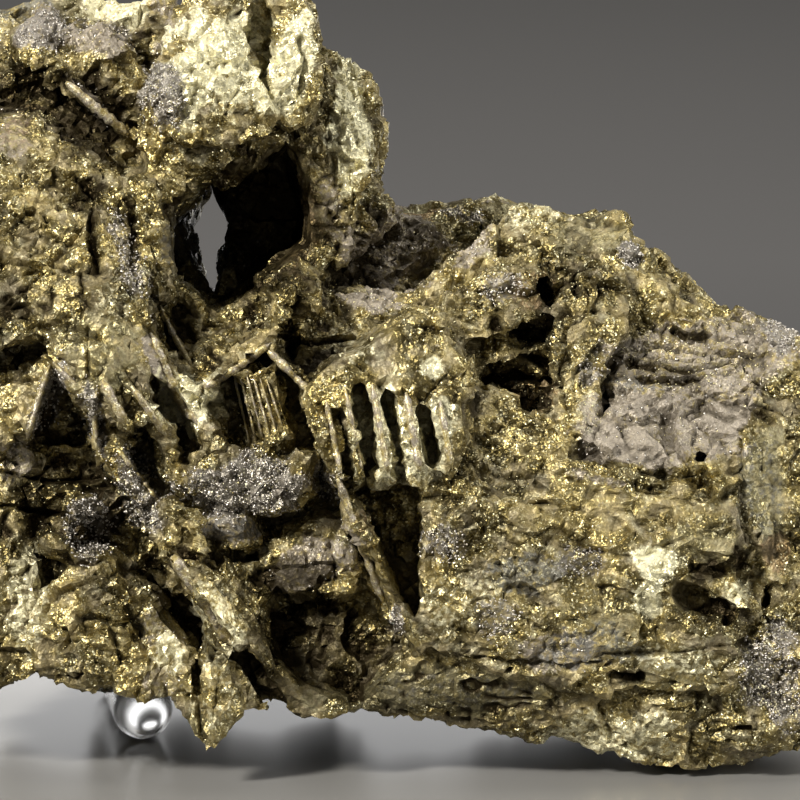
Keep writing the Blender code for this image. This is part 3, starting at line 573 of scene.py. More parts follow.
# Faces with parallel striations: the middle and radii of each, the striations' run as an angle
# below level to the right, and their pitch in millimetres.
STRIATED = (
    ((40, 185), (62, 38), 35, 1.3),
    ((40, 248), (62, 36), -30, 1.4),
    ((55, 490), (62, 44), 12, 1.3),
    ((640, 495), (130, 26), 12, 1.2),
    ((215, 712), (44, 56), 84, 1.2),
    ((205, 605), (46, 62), 56, 1.5),
    ((255, 408), (26, 42), 60, 1.3),
    ((290, 303), (30, 24), -25, 1.1),
    ((200, 345), (64, 44), 40, 1.4),
    ((395, 560), (34, 54), 72, 1.2),
    ((139, 535), (18, 28), 80, 1.0),
    ((698, 657), (64, 24), 5, 1.1),
    ((660, 690), (66, 22), 5, 1.2),
    ((470, 700), (150, 26), 8, 1.3),
    ((112, 236), (18, 38), 76, 1.1),
    ((560, 225), (90, 30), -24, 1.5),
    ((345, 130), (40, 92), 80, 1.4),
    ((450, 270), (70, 42), -34, 1.5),
    ((762, 500), (28, 80), 84, 1.5),
    ((160, 655), (30, 50), 80, 1.2),
    ((90, 630), (62, 56), 20, 1.6),
    ((480, 590), (90, 60), 30, 1.4),
    ((130, 300), (40, 60), 62, 1.4),
    ((575, 390), (30, 60), 70, 1.3),
    ((150, 400), (50, 60), 58, 1.3),
)


# A striation rises over the first share of its pitch and falls over the second.
STRIA_RISE = 0.7
STRIA_FALL = 0.3

# The noise that bends the striations: its length along them, across them and into the stone, and
# how far it bends them as a share of their pitch.
STRIA_STRETCH = (9, 2.2, 6)
STRIA_BEND = 1.2


def striations(sight):
    """Saw-toothed ledges from -0.5 to 0.5 on the striated faces, and how far each point is on one."""
    total = np.zeros(len(sight.points))
    covered = np.zeros(len(sight.points))
    for salt, (middle, radii, run, pitch) in enumerate(STRIATED, 60):
        share = sight.patch(middle, radii) * (1 - covered)
        angle = math.radians(run)
        along = (sight.across * math.cos(angle) + sight.down * math.sin(angle)) / PIXELS_PER_MM
        aside = (sight.down * math.cos(angle) - sight.across * math.sin(angle)) / PIXELS_PER_MM
        long, wide, deep = STRIA_STRETCH
        stretched = np.stack([along / long, aside / wide, sight.depth / deep], axis=1)
        phase = aside / pitch + STRIA_BEND * rough_noise(stretched, 1.0, 2, salt)
        rise = phase - np.floor(phase)
        total += share * (np.minimum(rise / STRIA_RISE, (1 - rise) / STRIA_FALL) - 0.5)
        covered += share
    return total, covered


# The relief that is carved into the skin: sizes, heights and depths in millimetres. A facet has a
# slope in place of a height, and its squeeze is how many times shorter it is along each axis.
LUMP_SIZE, LUMP_HEIGHT = 6.0, 0.36
BROAD_FACET, BROAD_SLOPE = 6.5, 0.22
SMALL_FACET, SMALL_SLOPE, SMALL_SQUEEZE = 2.4, 0.16, (1.0, 1.0, 1.7)
GRAIN_FACET, GRAIN_SLOPE, GRAIN_SQUEEZE = 1.1, 0.30, (1.0, 1.0, 1.5)
LEAST_GRANULAR = 0.35
FURROW_SIZE, FURROW_DEPTH, FURROW_EDGE = 2.6, 0.35, 0.22
LEDGE_PITCH, LEDGE_HEIGHT, LEDGE_FIELD = 1.4, 0.32, 12.0
STRIA_HEIGHT = 0.55
PLATE_HEIGHT, PLATE_FRAY = 0.6, 0.8
PIT_CELL, PIT_SHARE, PIT_DEPTH, PIT_EDGE = 3.4, 0.07, 0.8, 1.4
SEAM_CELL, SEAM_DEPTH, SEAM_EDGE = 8.0, 0.45, 0.5
RIB_DEEPEST = -10.0


def carving(points):
    """How far the skin moves out along its normals, in millimetres."""
    sight = Sight(points)
    smooth = marked(sight, "smooth")
    granular = np.maximum(marked(sight, "granular"), LEAST_GRANULAR)
    broken = 1 - 0.85 * smooth
    lined = 1 - 0.6 * smooth
    striae, striated = striations(sight)
    warped = points + 1.2 * smooth_noise(points, 4.0, 9)[:, None]
    out = LUMP_HEIGHT * rough_noise(points, LUMP_SIZE, 5, 1) * (1 - 0.75 * smooth)
    out += facets(warped, BROAD_FACET, BROAD_SLOPE, 10) * broken
    out += facets(points, SMALL_FACET, SMALL_SLOPE, 12, SMALL_SQUEEZE) * broken
    out += facets(points, GRAIN_FACET, GRAIN_SLOPE, 14, GRAIN_SQUEEZE) * broken * granular
    from_furrow = np.abs(rough_noise(points, FURROW_SIZE, 3, 16))
    out -= FURROW_DEPTH * (1 - smooth_step(from_furrow, 0.0, FURROW_EDGE)) * broken
    striped = smooth_step(smooth_noise(points, LEDGE_FIELD, 20), -0.2, 0.5) * (1 - striated)
    out += LEDGE_HEIGHT * (ledges(points, LEDGE_PITCH, 22) - 0.5) * striped
    out += STRIA_HEIGHT * striae * lined
    for middle, radii, turn, _ in PLATES:
        out += PLATE_HEIGHT * smooth_step(sight.patch(middle, radii, turn, fray=PLATE_FRAY), 0.3, 0.7)
    _, chance, border = cells(points, PIT_CELL, 30)
    pitted = (chance[:, 0] < PIT_SHARE) * smooth_step(border, 0.1, PIT_EDGE) * broken
    out -= PIT_DEPTH * pitted
    seam = cells(points + 0.8 * smooth_noise(points, 3.0, 34)[:, None], SEAM_CELL, 32)[2]
    out -= SEAM_DEPTH * (1 - smooth_step(seam, 0.05, SEAM_EDGE)) * lined
    for line, width, depth in CRACKS:
        out -= depth * sight.stroke(line, width)
    for line, width, height in RIBS:
        out += height * sight.stroke(line, width, far=RIB_DEEPEST)
    return out


# Meshes.

def mesh_arrays(mesh):
    """The points of a mesh in millimetres, and its triangles."""
    mesh.calc_loop_triangles()
    points = np.empty(len(mesh.vertices) * 3, np.float32)
    mesh.vertices.foreach_get("co", points)
    corners = np.empty(len(mesh.loop_triangles) * 3, np.int32)
    mesh.loop_triangles.foreach_get("vertices", corners)
    return points.reshape(-1, 3) / MM, corners.reshape(-1, 3)


def point_normals(points, corners):
    """Outward normals at the points, each face weighing in by its area."""
    sides = points[corners]
    face = np.cross(sides[:, 1] - sides[:, 0], sides[:, 2] - sides[:, 0])
    normals = np.zeros_like(points)
    for corner in range(3):
        np.add.at(normals, corners[:, corner], face)
    return normals / np.maximum(np.linalg.norm(normals, axis=1, keepdims=True), 1e-9)


def new_mesh(name, points, corners):
    """A mesh of triangles from points in millimetres."""
    mesh = bpy.data.meshes.new(name)
    mesh.vertices.add(len(points))
    mesh.vertices.foreach_set("co", (points * MM).astype(np.float32).ravel())
    mesh.loops.add(corners.size)
    mesh.loops.foreach_set("vertex_index", corners.astype(np.int32).ravel())
    mesh.polygons.add(len(corners))
    mesh.polygons.foreach_set("loop_start", np.arange(0, corners.size, 3, dtype=np.int32))
    mesh.update(calc_edges=True)
    return mesh


def add_piece(name, mesh):
    """An object of the scene with the mesh in it."""
    piece = bpy.data.objects.new(name, mesh)
    bpy.context.scene.collection.objects.link(piece)
    return piece


def applied(piece):
    """The piece's mesh with its modifiers in it. The piece is removed."""
    graph = bpy.context.evaluated_depsgraph_get()
    mesh = bpy.data.meshes.new_from_object(piece.evaluated_get(graph))
    bpy.data.objects.remove(piece)
    return mesh


def remeshed(name, mesh, grain):
    """The mesh made again of even faces about one grain across."""
    piece = add_piece(name, mesh)
    remesh = piece.modifiers.new("Even skin", "REMESH")
    remesh.mode = "VOXEL"
    remesh.voxel_size = grain * MM
    return applied(piece)


# How many steps the coarseness of the thinned skin has.
COARSE_STEPS = 20


def thinned(name, mesh, triangles, coarseness):
    """The mesh with fewer triangles, which stay fine where coarseness is low."""
    piece = add_piece(name, mesh)
    group = piece.vertex_groups.new(name="coarse")
    steps = np.clip(np.round(coarseness * COARSE_STEPS), 1, COARSE_STEPS).astype(int)
    for step in np.unique(steps):
        group.add(np.flatnonzero(steps == step).tolist(), step / COARSE_STEPS, "REPLACE")
    fewer = piece.modifiers.new("Fewer faces", "DECIMATE")
    fewer.ratio = triangles / (2 * len(mesh.polygons))
    fewer.use_collapse_triangulate = True
    fewer.vertex_group = group.name
    return applied(piece)


def write_tones(mesh, tones):
    """Store the strength of each finish and of the painted light and shade on the mesh, for the material to
    read.
    """
    for name, values in tones.items():
        layer = mesh.attributes.new(name, "FLOAT", "POINT")
        layer.data.foreach_set("value", np.clip(values, 0, 1).astype(np.float32))


# The sides that the front view doesn't show: each finish there, with its share of the surface.
HIDDEN_SHARES = {
    "silver": 0.09, "taupe": 0.14, "slate": 0.06, "dark_and_shade": 0.11, "pale": 0.12, "green": 0.14, "rust": 0.05,
}
HIDDEN_PATCH = 11.0
HIDDEN_STRENGTH = 0.8

# The depths in millimetres between which the front view's finishes give way to those.
HIDDEN_START = (-2.0, 8.0)

# The cave under the high lobe, painted dark as shade all the way through: its middle, radii and
# turn, and how deep the painted shade reaches and how strong it is.
CAVE = ((262, 215), (52, 72), 20)
CAVE_DEEPEST = 26.0
CAVE_SHADE_STRENGTH = 0.95

# How far a point lies below its neighbours, in millimetres, where it starts to count as a cranny
# and where it counts fully, and over how many rounds of neighbours that is worked out. Crannies are
# painted darker as shade.
CRANNY_DEPTHS = (0.03, 0.30)
CRANNY_ROUNDS = 6


def tones_of(points, hollow):
    """The strength of each finish, and of the painted light and shade, at the points of the skin."""
    sight = Sight(points)
    tones = {name: marked(sight, name) for name in PATCHES}
    hidden = smooth_step(sight.depth, *HIDDEN_START)
    warped = points + 3.0 * np.stack([rough_noise(points, 6.0, 4, 80 + i) for i in range(3)], axis=1)
    chance = cells(warped, HIDDEN_PATCH, 90)[1][:, 0]
    start = 0.0
    for name, share in HIDDEN_SHARES.items():
        here = (chance >= start) & (chance < start + share)
        tones[name] = np.maximum(tones[name] * (1 - hidden), HIDDEN_STRENGTH * hidden * here)
        start += share
    grainy = hidden * smooth_step(smooth_noise(points, 9.0, 95), -0.2, 0.4)
    tones["granular"] = np.maximum(tones["granular"], grainy)
    # Painted shade: the cave is darkened all the way in, like the shadow inside it.
    cave = CAVE_SHADE_STRENGTH * sight.patch(*CAVE, far=CAVE_DEEPEST)
    tones["dark_and_shade"] = np.maximum(tones["dark_and_shade"], cave)
    tones["hollow"] = hollow
    return tones


def stone_skin():
    """The carved skin of the stone, made from its solid. It stays above the floor."""
    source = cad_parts["arsenopyrite"].data.copy()
    even = remeshed("even_skin", source, SKIN_GRAIN)
    points, corners = mesh_arrays(even)
    normals = point_normals(points, corners)
    carved = points + normals * carving(points)[:, None]
    carved[:, 2] = np.maximum(carved[:, 2], 0.0)
    even.vertices.foreach_set("co", (carved * MM).astype(np.float32).ravel())
    depth = in_view(points)[2]
    behind = smooth_step(depth, FRONT_DEPTH, BACK_DEPTH)
    coarseness = FRONT_COARSENESS + (BACK_COARSENESS - FRONT_COARSENESS) * behind
    mesh = thinned("thinned_skin", even, SKIN_TRIANGLES, coarseness)
    mesh.name = "stone_skin"
    return mesh


def soften(points, corners, rounds):
    """The points after each has been drawn to the mean of its neighbours a few times."""
    ends = np.concatenate([corners[:, [0, 1]], corners[:, [1, 2]], corners[:, [2, 0]]])
    ends = np.concatenate([ends, ends[:, ::-1]])
    count = np.bincount(ends[:, 0], minlength=len(points))[:, None]
    for _ in range(rounds):
        sums = [np.bincount(ends[:, 0], points[ends[:, 1], i], len(points)) for i in range(3)]
        points = np.stack(sums, 1) / np.maximum(count, 1)
    return points


def build_stone():
    """The skin in place of the solid. Returns its points, its triangles and its finishes, painted light and
    shade among them.
    """
    mesh = stone_skin()
    points, corners = mesh_arrays(mesh)
    normals = point_normals(points, corners)
    sunk = np.einsum("ij,ij->i", soften(points, corners, CRANNY_ROUNDS) - points, normals)
    # Painted shade: the deeper a point lies in a cranny, the darker it is painted.
    hollow = smooth_step(sunk, *CRANNY_DEPTHS)
    tones = tones_of(points, hollow)
    write_tones(mesh, tones)
    mesh.shade_flat()
    stone = add_piece("stone_skin", mesh)
    mesh.materials.clear()
    mesh.materials.append(brassy_stone())
    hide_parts("arsenopyrite")
    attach(stone, "root")
    return points, corners, tones


# Materials.

def shader_tree(name):
    """A new material, its node tree and its main shader."""
    material = bpy.data.materials.new(name)
    material.use_nodes = True
    return material, material.node_tree, material.node_tree.nodes["Principled BSDF"]


def add_node(tree, kind, **values):
    """A node of a tree. A value given as a socket is linked, and any other is set."""
    node = tree.nodes.new(kind)
    for key, value in values.items():
        if key in node.inputs:
            fill(tree, node.inputs[key], value)
        else:
            setattr(node, key, value)
    return node


def fill(tree, socket, value):
    """Link a socket to the value if that is a socket too, and set it otherwise."""
    if isinstance(value, bpy.types.NodeSocket):
        tree.links.new(value, socket)
    else:
        socket.default_value = value


def maths(tree, operation, first, second=0.0, clamp=False):
    """The result of a sum on two numbers."""
    node = tree.nodes.new("ShaderNodeMath")
    node.operation = operation
    node.use_clamp = clamp
    fill(tree, node.inputs[0], first)
    fill(tree, node.inputs[1], second)
    return node.outputs[0]


def vectors(tree, operation, first, second=(0.0, 0.0, 0.0), scale=1.0):
    """The result of a sum on vectors."""
    node = tree.nodes.new("ShaderNodeVectorMath")
    node.operation = operation
    fill(tree, node.inputs[0], first)
    fill(tree, node.inputs[1], second)
    if operation == "SCALE":
        fill(tree, node.inputs["Scale"], scale)
    return node.outputs["Vector"]


def blended(tree, share, first, second, mode="MIX"):
    """One colour mixed into another by a share."""
    node = tree.nodes.new("ShaderNodeMix")
    node.data_type = "RGBA"
    node.blend_type = mode
    for socket, value in zip((node.inputs[0], node.inputs[6], node.inputs[7]), (share, first, second)):
        fill(tree, socket, value)
    return node.outputs[2]


def between(tree, value, low, high, to_low=0.0, to_high=1.0):
    """The value carried from one range over to another, and kept inside it."""
    node = tree.nodes.new("ShaderNodeMapRange")
    fill(tree, node.inputs["Value"], value)
    node.inputs["From Min"].default_value = low
    node.inputs["From Max"].default_value = high
    node.inputs["To Min"].default_value = to_low
    node.inputs["To Max"].default_value = to_high
    return node.outputs[0]


def tone(tree, name):
    """The strength of a finish that is stored on the mesh."""
    return add_node(tree, "ShaderNodeAttribute", attribute_name=name).outputs["Fac"]


def place(tree):
    """The place in the stone, in metres."""
    return tree.nodes.new("ShaderNodeTexCoord").outputs["Object"]


def noise_of(tree, vector, size, detail=4.0, roughness=0.6):
    """Noise from 0 to 1, with bumps about size millimetres across."""
    node = add_node(tree, "ShaderNodeTexNoise", Vector=vector, Scale=1 / (size * MM), Detail=detail)
    node.inputs["Roughness"].default_value = roughness
    return node.outputs["Fac"]


def new_group(name, inputs, outputs):
    """A node group with named sockets, its tree and its input node."""
    group = bpy.data.node_groups.new(name, "ShaderNodeTree")
    for label, kind, value in inputs:
        socket = group.interface.new_socket(label, in_out="INPUT", socket_type=kind)
        if value is not None:
            socket.default_value = value
    for label, kind in outputs:
        group.interface.new_socket(label, in_out="OUTPUT", socket_type=kind)
    return group, group.nodes.new("NodeGroupInput"), group.nodes.new("NodeGroupOutput")


def crystal_group():
    """Tiny crystal faces: every cell of the stone gets its own lean and its own brightness."""
    group, given, made = new_group(
        "crystal_faces",
        [("Size", "NodeSocketFloat", 0.5), ("Lean", "NodeSocketFloat", 0.5)],
        [("Normal", "NodeSocketVector"), ("Shade", "NodeSocketFloat")],
    )
    scale = maths(group, "DIVIDE", 1 / MM, given.outputs["Size"])
    cell = add_node(group, "ShaderNodeTexVoronoi", Vector=place(group), Scale=scale)
    leaning = vectors(group, "SUBTRACT", cell.outputs["Color"], (0.5, 0.5, 0.5))
    leaning = vectors(group, "SCALE", leaning, scale=given.outputs["Lean"])
    normal = group.nodes.new("ShaderNodeNewGeometry").outputs["Normal"]
    turned = vectors(group, "NORMALIZE", vectors(group, "ADD", normal, leaning))
    group.links.new(turned, made.inputs["Normal"])
    shade = add_node(group, "ShaderNodeSeparateColor", Color=cell.outputs["Color"]).outputs[0]
    group.links.new(shade, made.inputs["Shade"])
    return group


def rough_height_group():
    """The height of fine broken relief: noise, with sharp little steps in it."""
    group, given, made = new_group(
        "broken_relief",
        [("Size", "NodeSocketFloat", 1.0), ("Steps", "NodeSocketFloat", 0.5)],
        [("Height", "NodeSocketFloat")],
    )
    scale = maths(group, "DIVIDE", 1 / MM, given.outputs["Size"])
    soft = add_node(group, "ShaderNodeTexNoise", Vector=place(group), Scale=scale, Detail=5.0).outputs["Fac"]
    sharp = add_node(group, "ShaderNodeTexVoronoi", Vector=place(group), Scale=scale).outputs["Distance"]
    stepped = maths(group, "MULTIPLY", sharp, given.outputs["Steps"])
    group.links.new(maths(group, "ADD", soft, stepped), made.inputs["Height"])
    return group


CRYSTALS = crystal_group()
RELIEF = rough_height_group()


def crystal_faces(tree, size, lean):
    """The node of tiny crystal faces, each about size millimetres across."""
    node = add_node(tree, "ShaderNodeGroup", node_tree=CRYSTALS)
    fill(tree, node.inputs["Size"], size)
    fill(tree, node.inputs["Lean"], lean)
    return node


def relief_bump(tree, faces, size, steps, strength, depth):
    """The normal of fine broken relief that lies on tiny crystal faces, in millimetres."""
    relief = add_node(tree, "ShaderNodeGroup", node_tree=RELIEF)
    fill(tree, relief.inputs["Size"], size)
    fill(tree, relief.inputs["Steps"], steps)
    normal = faces.outputs["Normal"]
    bump = add_node(tree, "ShaderNodeBump", Height=relief.outputs["Height"], Normal=normal)
    bump.inputs["Strength"].default_value = strength
    bump.inputs["Distance"].default_value = depth * MM
    return bump.outputs[0]


# Finishes, painted light and painted shade as linear colours.
GOLD = (0.365, 0.288, 0.108, 1)
OLIVE = (0.13, 0.102, 0.036, 1)
# Pale gold: paler spots and grains, and painted glints and painted light on lit faces.
PALE_AND_LIT = (0.92, 0.86, 0.56, 1)
SILVER = (0.60, 0.56, 0.50, 1)
DULL_SILVER = (0.36, 0.33, 0.29, 1)
DRUSE_BED = (0.21, 0.19, 0.16, 1)
SLATE = (0.13, 0.13, 0.115, 1)
TAUPE = (0.285, 0.245, 0.195, 1)
GREEN = (0.235, 0.21, 0.11, 1)
RUST = (0.26, 0.17, 0.08, 1)
# Near black: painted shade in crannies, in the cave and in shadowed patches, and darker stone.
SHADE_AND_DARK_STONE = (0.022, 0.016, 0.007, 1)


# The finishes that colour the stone, painted light among them: the name, the colour, and how much
# of it shows at the most.
PAINTED = (
    ("green", GREEN, 0.65),
    ("taupe", TAUPE, 0.9),
    # Painted light on the faces that catch the lamps, and paler stone on the hidden sides.
    ("pale", PALE_AND_LIT, 0.85),
    ("slate", SLATE, 0.8),
    ("silver", DRUSE_BED, 0.9),
    ("rust", RUST, 0.7),
)

# The sizes in millimetres of the clouds of colour, the matt zones, the fine mottling, the flecks
# that fray the finishes and the tiny crystal faces.
CLOUD_SIZE = 9.0
DRIFT_SIZE = 5.0
MOTTLE_SIZE = 1.6
FLECK_SIZE = 0.9
FACE_SIZE = 0.24


def painted_colour(tree, here, mottle, drift):
    """Olive to gold in clouds, with paler and greyer spots, and each finish in ragged patches, painted light
    among them.
    """
    clouds = noise_of(tree, here, CLOUD_SIZE)
    colour = blended(tree, between(tree, clouds, 0.4, 0.6), OLIVE, GOLD)
    colour = blended(tree, between(tree, mottle, 0.52, 0.7, 0, 0.35), colour, PALE_AND_LIT)
    colour = blended(tree, between(tree, drift, 0.5, 0.62, 0, 0.25), colour, TAUPE)
    fleck = maths(tree, "SUBTRACT", noise_of(tree, here, FLECK_SIZE), 0.5)
    fleck = maths(tree, "MULTIPLY", fleck, 2.2)
    for name, paint, most in PAINTED:
        ragged = maths(tree, "ADD", tone(tree, name), fleck)
        colour = blended(tree, between(tree, ragged, 0.3, 0.7, 0, most), colour, paint)
    return colour


def glinting_colour(tree, colour, faces, dull, drift):
    """The colour with each crystal face in its own shade and a few that glint, least where it is dull."""
    # Painted highlights: the faces with the highest random shade are painted pale as glints, fewest where it
    # is matt, and every face's colour is scaled by its random shade as painted light and shade.
    matt = maths(tree, "MAXIMUM", dull, between(tree, drift, 0.47, 0.56))
    glint = between(tree, faces.outputs["Shade"], 0.9, 0.96)
    glint = maths(tree, "MULTIPLY", glint, between(tree, matt, 0.1, 0.9, 0.75, 0.06))
    glint = maths(tree, "MULTIPLY", glint, between(tree, tone(tree, "smooth"), 0.2, 0.8, 1.0, 0.1))
    colour = blended(tree, glint, colour, PALE_AND_LIT)
    shade = between(tree, faces.outputs["Shade"], 0, 1, 0.65, 1.1)
    shade = add_node(tree, "ShaderNodeCombineXYZ", X=shade, Y=shade, Z=shade).outputs[0]
    return blended(tree, 1.0, colour, shade, "MULTIPLY")


def shade_and_dark_stone_of(tree, mottle):
    """How much the stone is darkened, from 0 to 1: painted shade in its crannies, in the cave and in
    shadowed patches, and darker stone in a few patches.
    """
    cranny = between(tree, tone(tree, "pale"), 0, 1, 0.65, 0.35)
    cranny = maths(tree, "MULTIPLY", tone(tree, "hollow"), cranny)
    gloom = between(tree, mottle, 0.3, 0.7, 0.72, 1.15)
    gloom = maths(tree, "MULTIPLY", tone(tree, "dark_and_shade"), gloom)
    return maths(tree, "ADD", cranny, gloom, clamp=True)


def metal_of(tree, dull, drift):
    """How metallic the stone is: least in the matt zones, on dull finishes and on pale ones."""
    metal = maths(tree, "SUBTRACT", 1.0, maths(tree, "MULTIPLY", dull, 0.7))
    metal = maths(tree, "MULTIPLY", between(tree, drift, 0.44, 0.58, 0.88, 0.42), metal)
    return maths(tree, "MULTIPLY", metal, between(tree, tone(tree, "pale"), 0, 1, 1.0, 0.6))


def brassy_stone():
    """The stone's own material, brassy crystal faces with the finishes and the painted light and shade that
    are stored on the skin.
    """
    material, tree, shader = shader_tree("brassy_stone")
    here = place(tree)
    mottle = noise_of(tree, here, MOTTLE_SIZE)
    drift = noise_of(tree, here, DRIFT_SIZE, 5.0)
    dull = maths(tree, "MAXIMUM", tone(tree, "taupe"), tone(tree, "slate"))
    lean = between(tree, tone(tree, "smooth"), 0, 1, 0.64, 0.22)
    lean = maths(tree, "SUBTRACT", lean, between(tree, drift, 0.47, 0.56, 0.0, 0.18))
    faces = crystal_faces(tree, FACE_SIZE, lean)
    colour = painted_colour(tree, here, mottle, drift)
    colour = glinting_colour(tree, colour, faces, dull, drift)
    # Painted shade: crannies, the cave and shadowed patches are mixed towards near black, with less
    # specular.
    shade_and_dark = shade_and_dark_stone_of(tree, mottle)
    colour = blended(tree, shade_and_dark, colour, SHADE_AND_DARK_STONE)
    rough = maths(tree, "MULTIPLY", dull, 0.15)
    rough = maths(tree, "ADD", between(tree, drift, 0.44, 0.58, 0.3, 0.5), rough)
    tree.links.new(colour, shader.inputs["Base Color"])
    tree.links.new(metal_of(tree, dull, drift), shader.inputs["Metallic"])
    tree.links.new(rough, shader.inputs["Roughness"])
    tree.links.new(between(tree, shade_and_dark, 0, 1, 0.5, 0.08), shader.inputs["Specular IOR Level"])
    tree.links.new(relief_bump(tree, faces, 0.6, 0.6, 0.6, 0.25), shader.inputs["Normal"])
    return material


def grain_material(name, bright, dull):
    """Bright metallic crystal grains, mottled with a duller colour."""
    material, tree, shader = shader_tree(name)
    fine = noise_of(tree, place(tree), 1.4)
    faces = crystal_faces(tree, 0.45, 0.3)
    colour = blended(tree, between(tree, fine, 0.35, 0.65), dull, bright)
    tree.links.new(colour, shader.inputs["Base Color"])
    tree.links.new(faces.outputs["Normal"], shader.inputs["Normal"])
    shader.inputs["Metallic"].default_value = 0.85
    shader.inputs["Roughness"].default_value = 0.32
    return material


def blade_crystal():
    """Pale taupe blades with a brassy cast."""
    material, tree, shader = shader_tree("blade_crystal")
    mottle = noise_of(tree, place(tree), 1.5)
    faces = crystal_faces(tree, 0.22, 0.35)
    colour = blended(tree, between(tree, mottle, 0.4, 0.62), TAUPE, GOLD)
    # Painted highlights: the faces with the highest random shade are painted pale as glints.
    colour = blended(tree, between(tree, faces.outputs["Shade"], 0.7, 0.95, 0, 0.6), colour, PALE_AND_LIT)
    tree.links.new(colour, shader.inputs["Base Color"])
    tree.links.new(relief_bump(tree, faces, 0.5, 0.5, 0.5, 0.2), shader.inputs["Normal"])
    shader.inputs["Metallic"].default_value = 0.45
    shader.inputs["Roughness"].default_value = 0.42
    return material


def clear_acrylic():
    """The rod's plastic, clear with a slightly worn surface."""
    material, _, shader = shader_tree("clear_acrylic")
    shader.inputs["Base Color"].default_value = (1, 1, 1, 1)
    shader.inputs["Transmission Weight"].default_value = 1.0
    shader.inputs["IOR"].default_value = 1.49
    shader.inputs["Roughness"].default_value = 0.2
    return material


# Thin crystal blades that stand out of the skin: the line of each in pixels, then its width and
# height in millimetres.
BLADES = (
    ([(150, 333), (170, 378), (185, 410), (216, 434)], 1.7, 1.7),
    ([(192, 396), (236, 368), (272, 342)], 1.6, 1.6),
    ([(102, 380), (126, 424)], 1.7, 1.4),
    ([(131, 386), (150, 412), (166, 436)], 1.5, 1.5),
    ([(66, 82), (96, 108), (128, 135)], 1.9, 1.7),
    ([(338, 478), (362, 545), (384, 604)], 1.4, 1.7),
    ([(53, 362), (76, 386), (94, 408), (96, 442)], 1.0, 1.0),
    ([(50, 364), (38, 400), (26, 440)], 1.3, 1.3),
    ([(172, 556), (205, 600), (232, 644)], 2.6, 1.3),
    ([(116, 447), (140, 478), (161, 505)], 1.1, 1.2),
    ([(266, 348), (309, 391)], 1.4, 1.2),
    ([(158, 300), (172, 332), (192, 366)], 1.2, 1.0),
    ([(326, 400), (341, 474)], 1.1, 0.9),
    ([(345, 388), (362, 472)], 1.0, 1.1),
    ([(372, 384), (388, 472)], 1.3, 1.1),
    ([(406, 392), (420, 472)], 1.5, 1.0),
    ([(440, 400), (452, 470)], 1.3, 0.9),
)

# The fins on the slab left of the slotted block: how many, the ends of the first in pixels, how far
# the next one's ends lie from them, and the width and height of each in millimetres.
FINS = 6
FIN_TOP, FIN_FOOT = (234, 374), (250, 446)
FIN_TOP_STEP, FIN_FOOT_STEP = (6.5, 1), (6.5, -4)
FIN_SIZE = (0.55, 1.0)

# A blade has a ring of corners about every so many pixels, and its root goes so many millimetres
# into the stone. Its ends have this share of its full size, which grows by the next at each ring.
BLADE_STEP = 4.0
BLADE_ROOT = 2.5
BLADE_RING = 5
BLADE_TIP = 0.35
BLADE_GROWTH = 0.3


def fins():
    """Close parallel fins, each as its line, its width and its height."""
    for i in range(FINS):
        top = tuple(start + i * step for start, step in zip(FIN_TOP, FIN_TOP_STEP))
        foot = tuple(start + i * step for start, step in zip(FIN_FOOT, FIN_FOOT_STEP))
        yield [top, foot], *FIN_SIZE


def blade_stations(line):
    """Places about every BLADE_STEP pixels along a line, and the line's run at each."""
    legs = list(zip(line, line[1:]))
    for leg, ((ax, ay), (bx, by)) in enumerate(legs, 1):
        length = math.hypot(bx - ax, by - ay)
        run = ((bx - ax) / length, (by - ay) / length)
        steps = max(1, round(length / BLADE_STEP))
        stops = steps + 1 if leg == len(legs) else steps
        for stop in range(stops):
            share = stop / steps
            yield ax + (bx - ax) * share, ay + (by - ay) * share, *run


def blade_depths(stations, skin):
    """How deep the skin lies at each station of a blade, drawn half way to one straight line."""
    eye = Vector(ORIGIN - AHEAD * SIGHT_DISTANCE)
    depths = []
    for across, down, _, _ in stations:
        ahead = (Vector(out_of_view(across, down, 0.0)) - eye).normalized()
        hit = skin.ray_cast(eye, ahead)[0]
        before = depths[-1] if depths else 0.0
        depths.append(in_view(np.array([hit]))[2][0] if hit else before)
    slope, start = np.polyfit(np.arange(len(depths)), depths, 1)
    return [0.5 * depth + 0.5 * (start + slope * i) for i, depth in enumerate(depths)]


def blade_points(line, width, height, skin):
    """The points of a jagged wedge along a line, its root in the stone: a ring at each station."""
    stations = list(blade_stations(line))
    points = []
    for i, depth in enumerate(blade_depths(stations, skin)):
        across, down, run_x, run_y = stations[i]
        full = min(1.0, BLADE_TIP + BLADE_GROWTH * min(i, len(stations) - 1 - i))
        cell = np.array([[math.floor(across), math.floor(down), i]])
        jag = lattice_random(cell, 5)[0] - 0.5
        half = width * full * (0.5 + 0.25 * jag[0]) * PIXELS_PER_MM
        top = depth - height * full * (1 + 0.3 * jag[1])
        root = depth + BLADE_ROOT
        for aside, level in (
            (-half, root),
            (-0.75 * half, top + 0.35),
            (0.25 * half * jag[2], top),
            (0.8 * half, top + 0.5 * height),
            (half, root),
        ):
            points.append(out_of_view(across - run_y * aside, down + run_x * aside, level))
    return np.array(points, np.float32)


def blade_faces(rings):
    """The triangles between the rings of a blade, and those that close its two ends."""
    faces = []
    for ring in range(rings - 1):
        for side in range(BLADE_RING):
            near = ring * BLADE_RING + side
            far = ring * BLADE_RING + (side + 1) % BLADE_RING
            faces.append((near, far, far + BLADE_RING))
            faces.append((near, far + BLADE_RING, near + BLADE_RING))
    last = (rings - 1) * BLADE_RING
    for side in range(1, BLADE_RING - 1):
        faces.append((0, side + 1, side))
        faces.append((last, last + side, last + side + 1))
    return np.array(faces, np.int32)


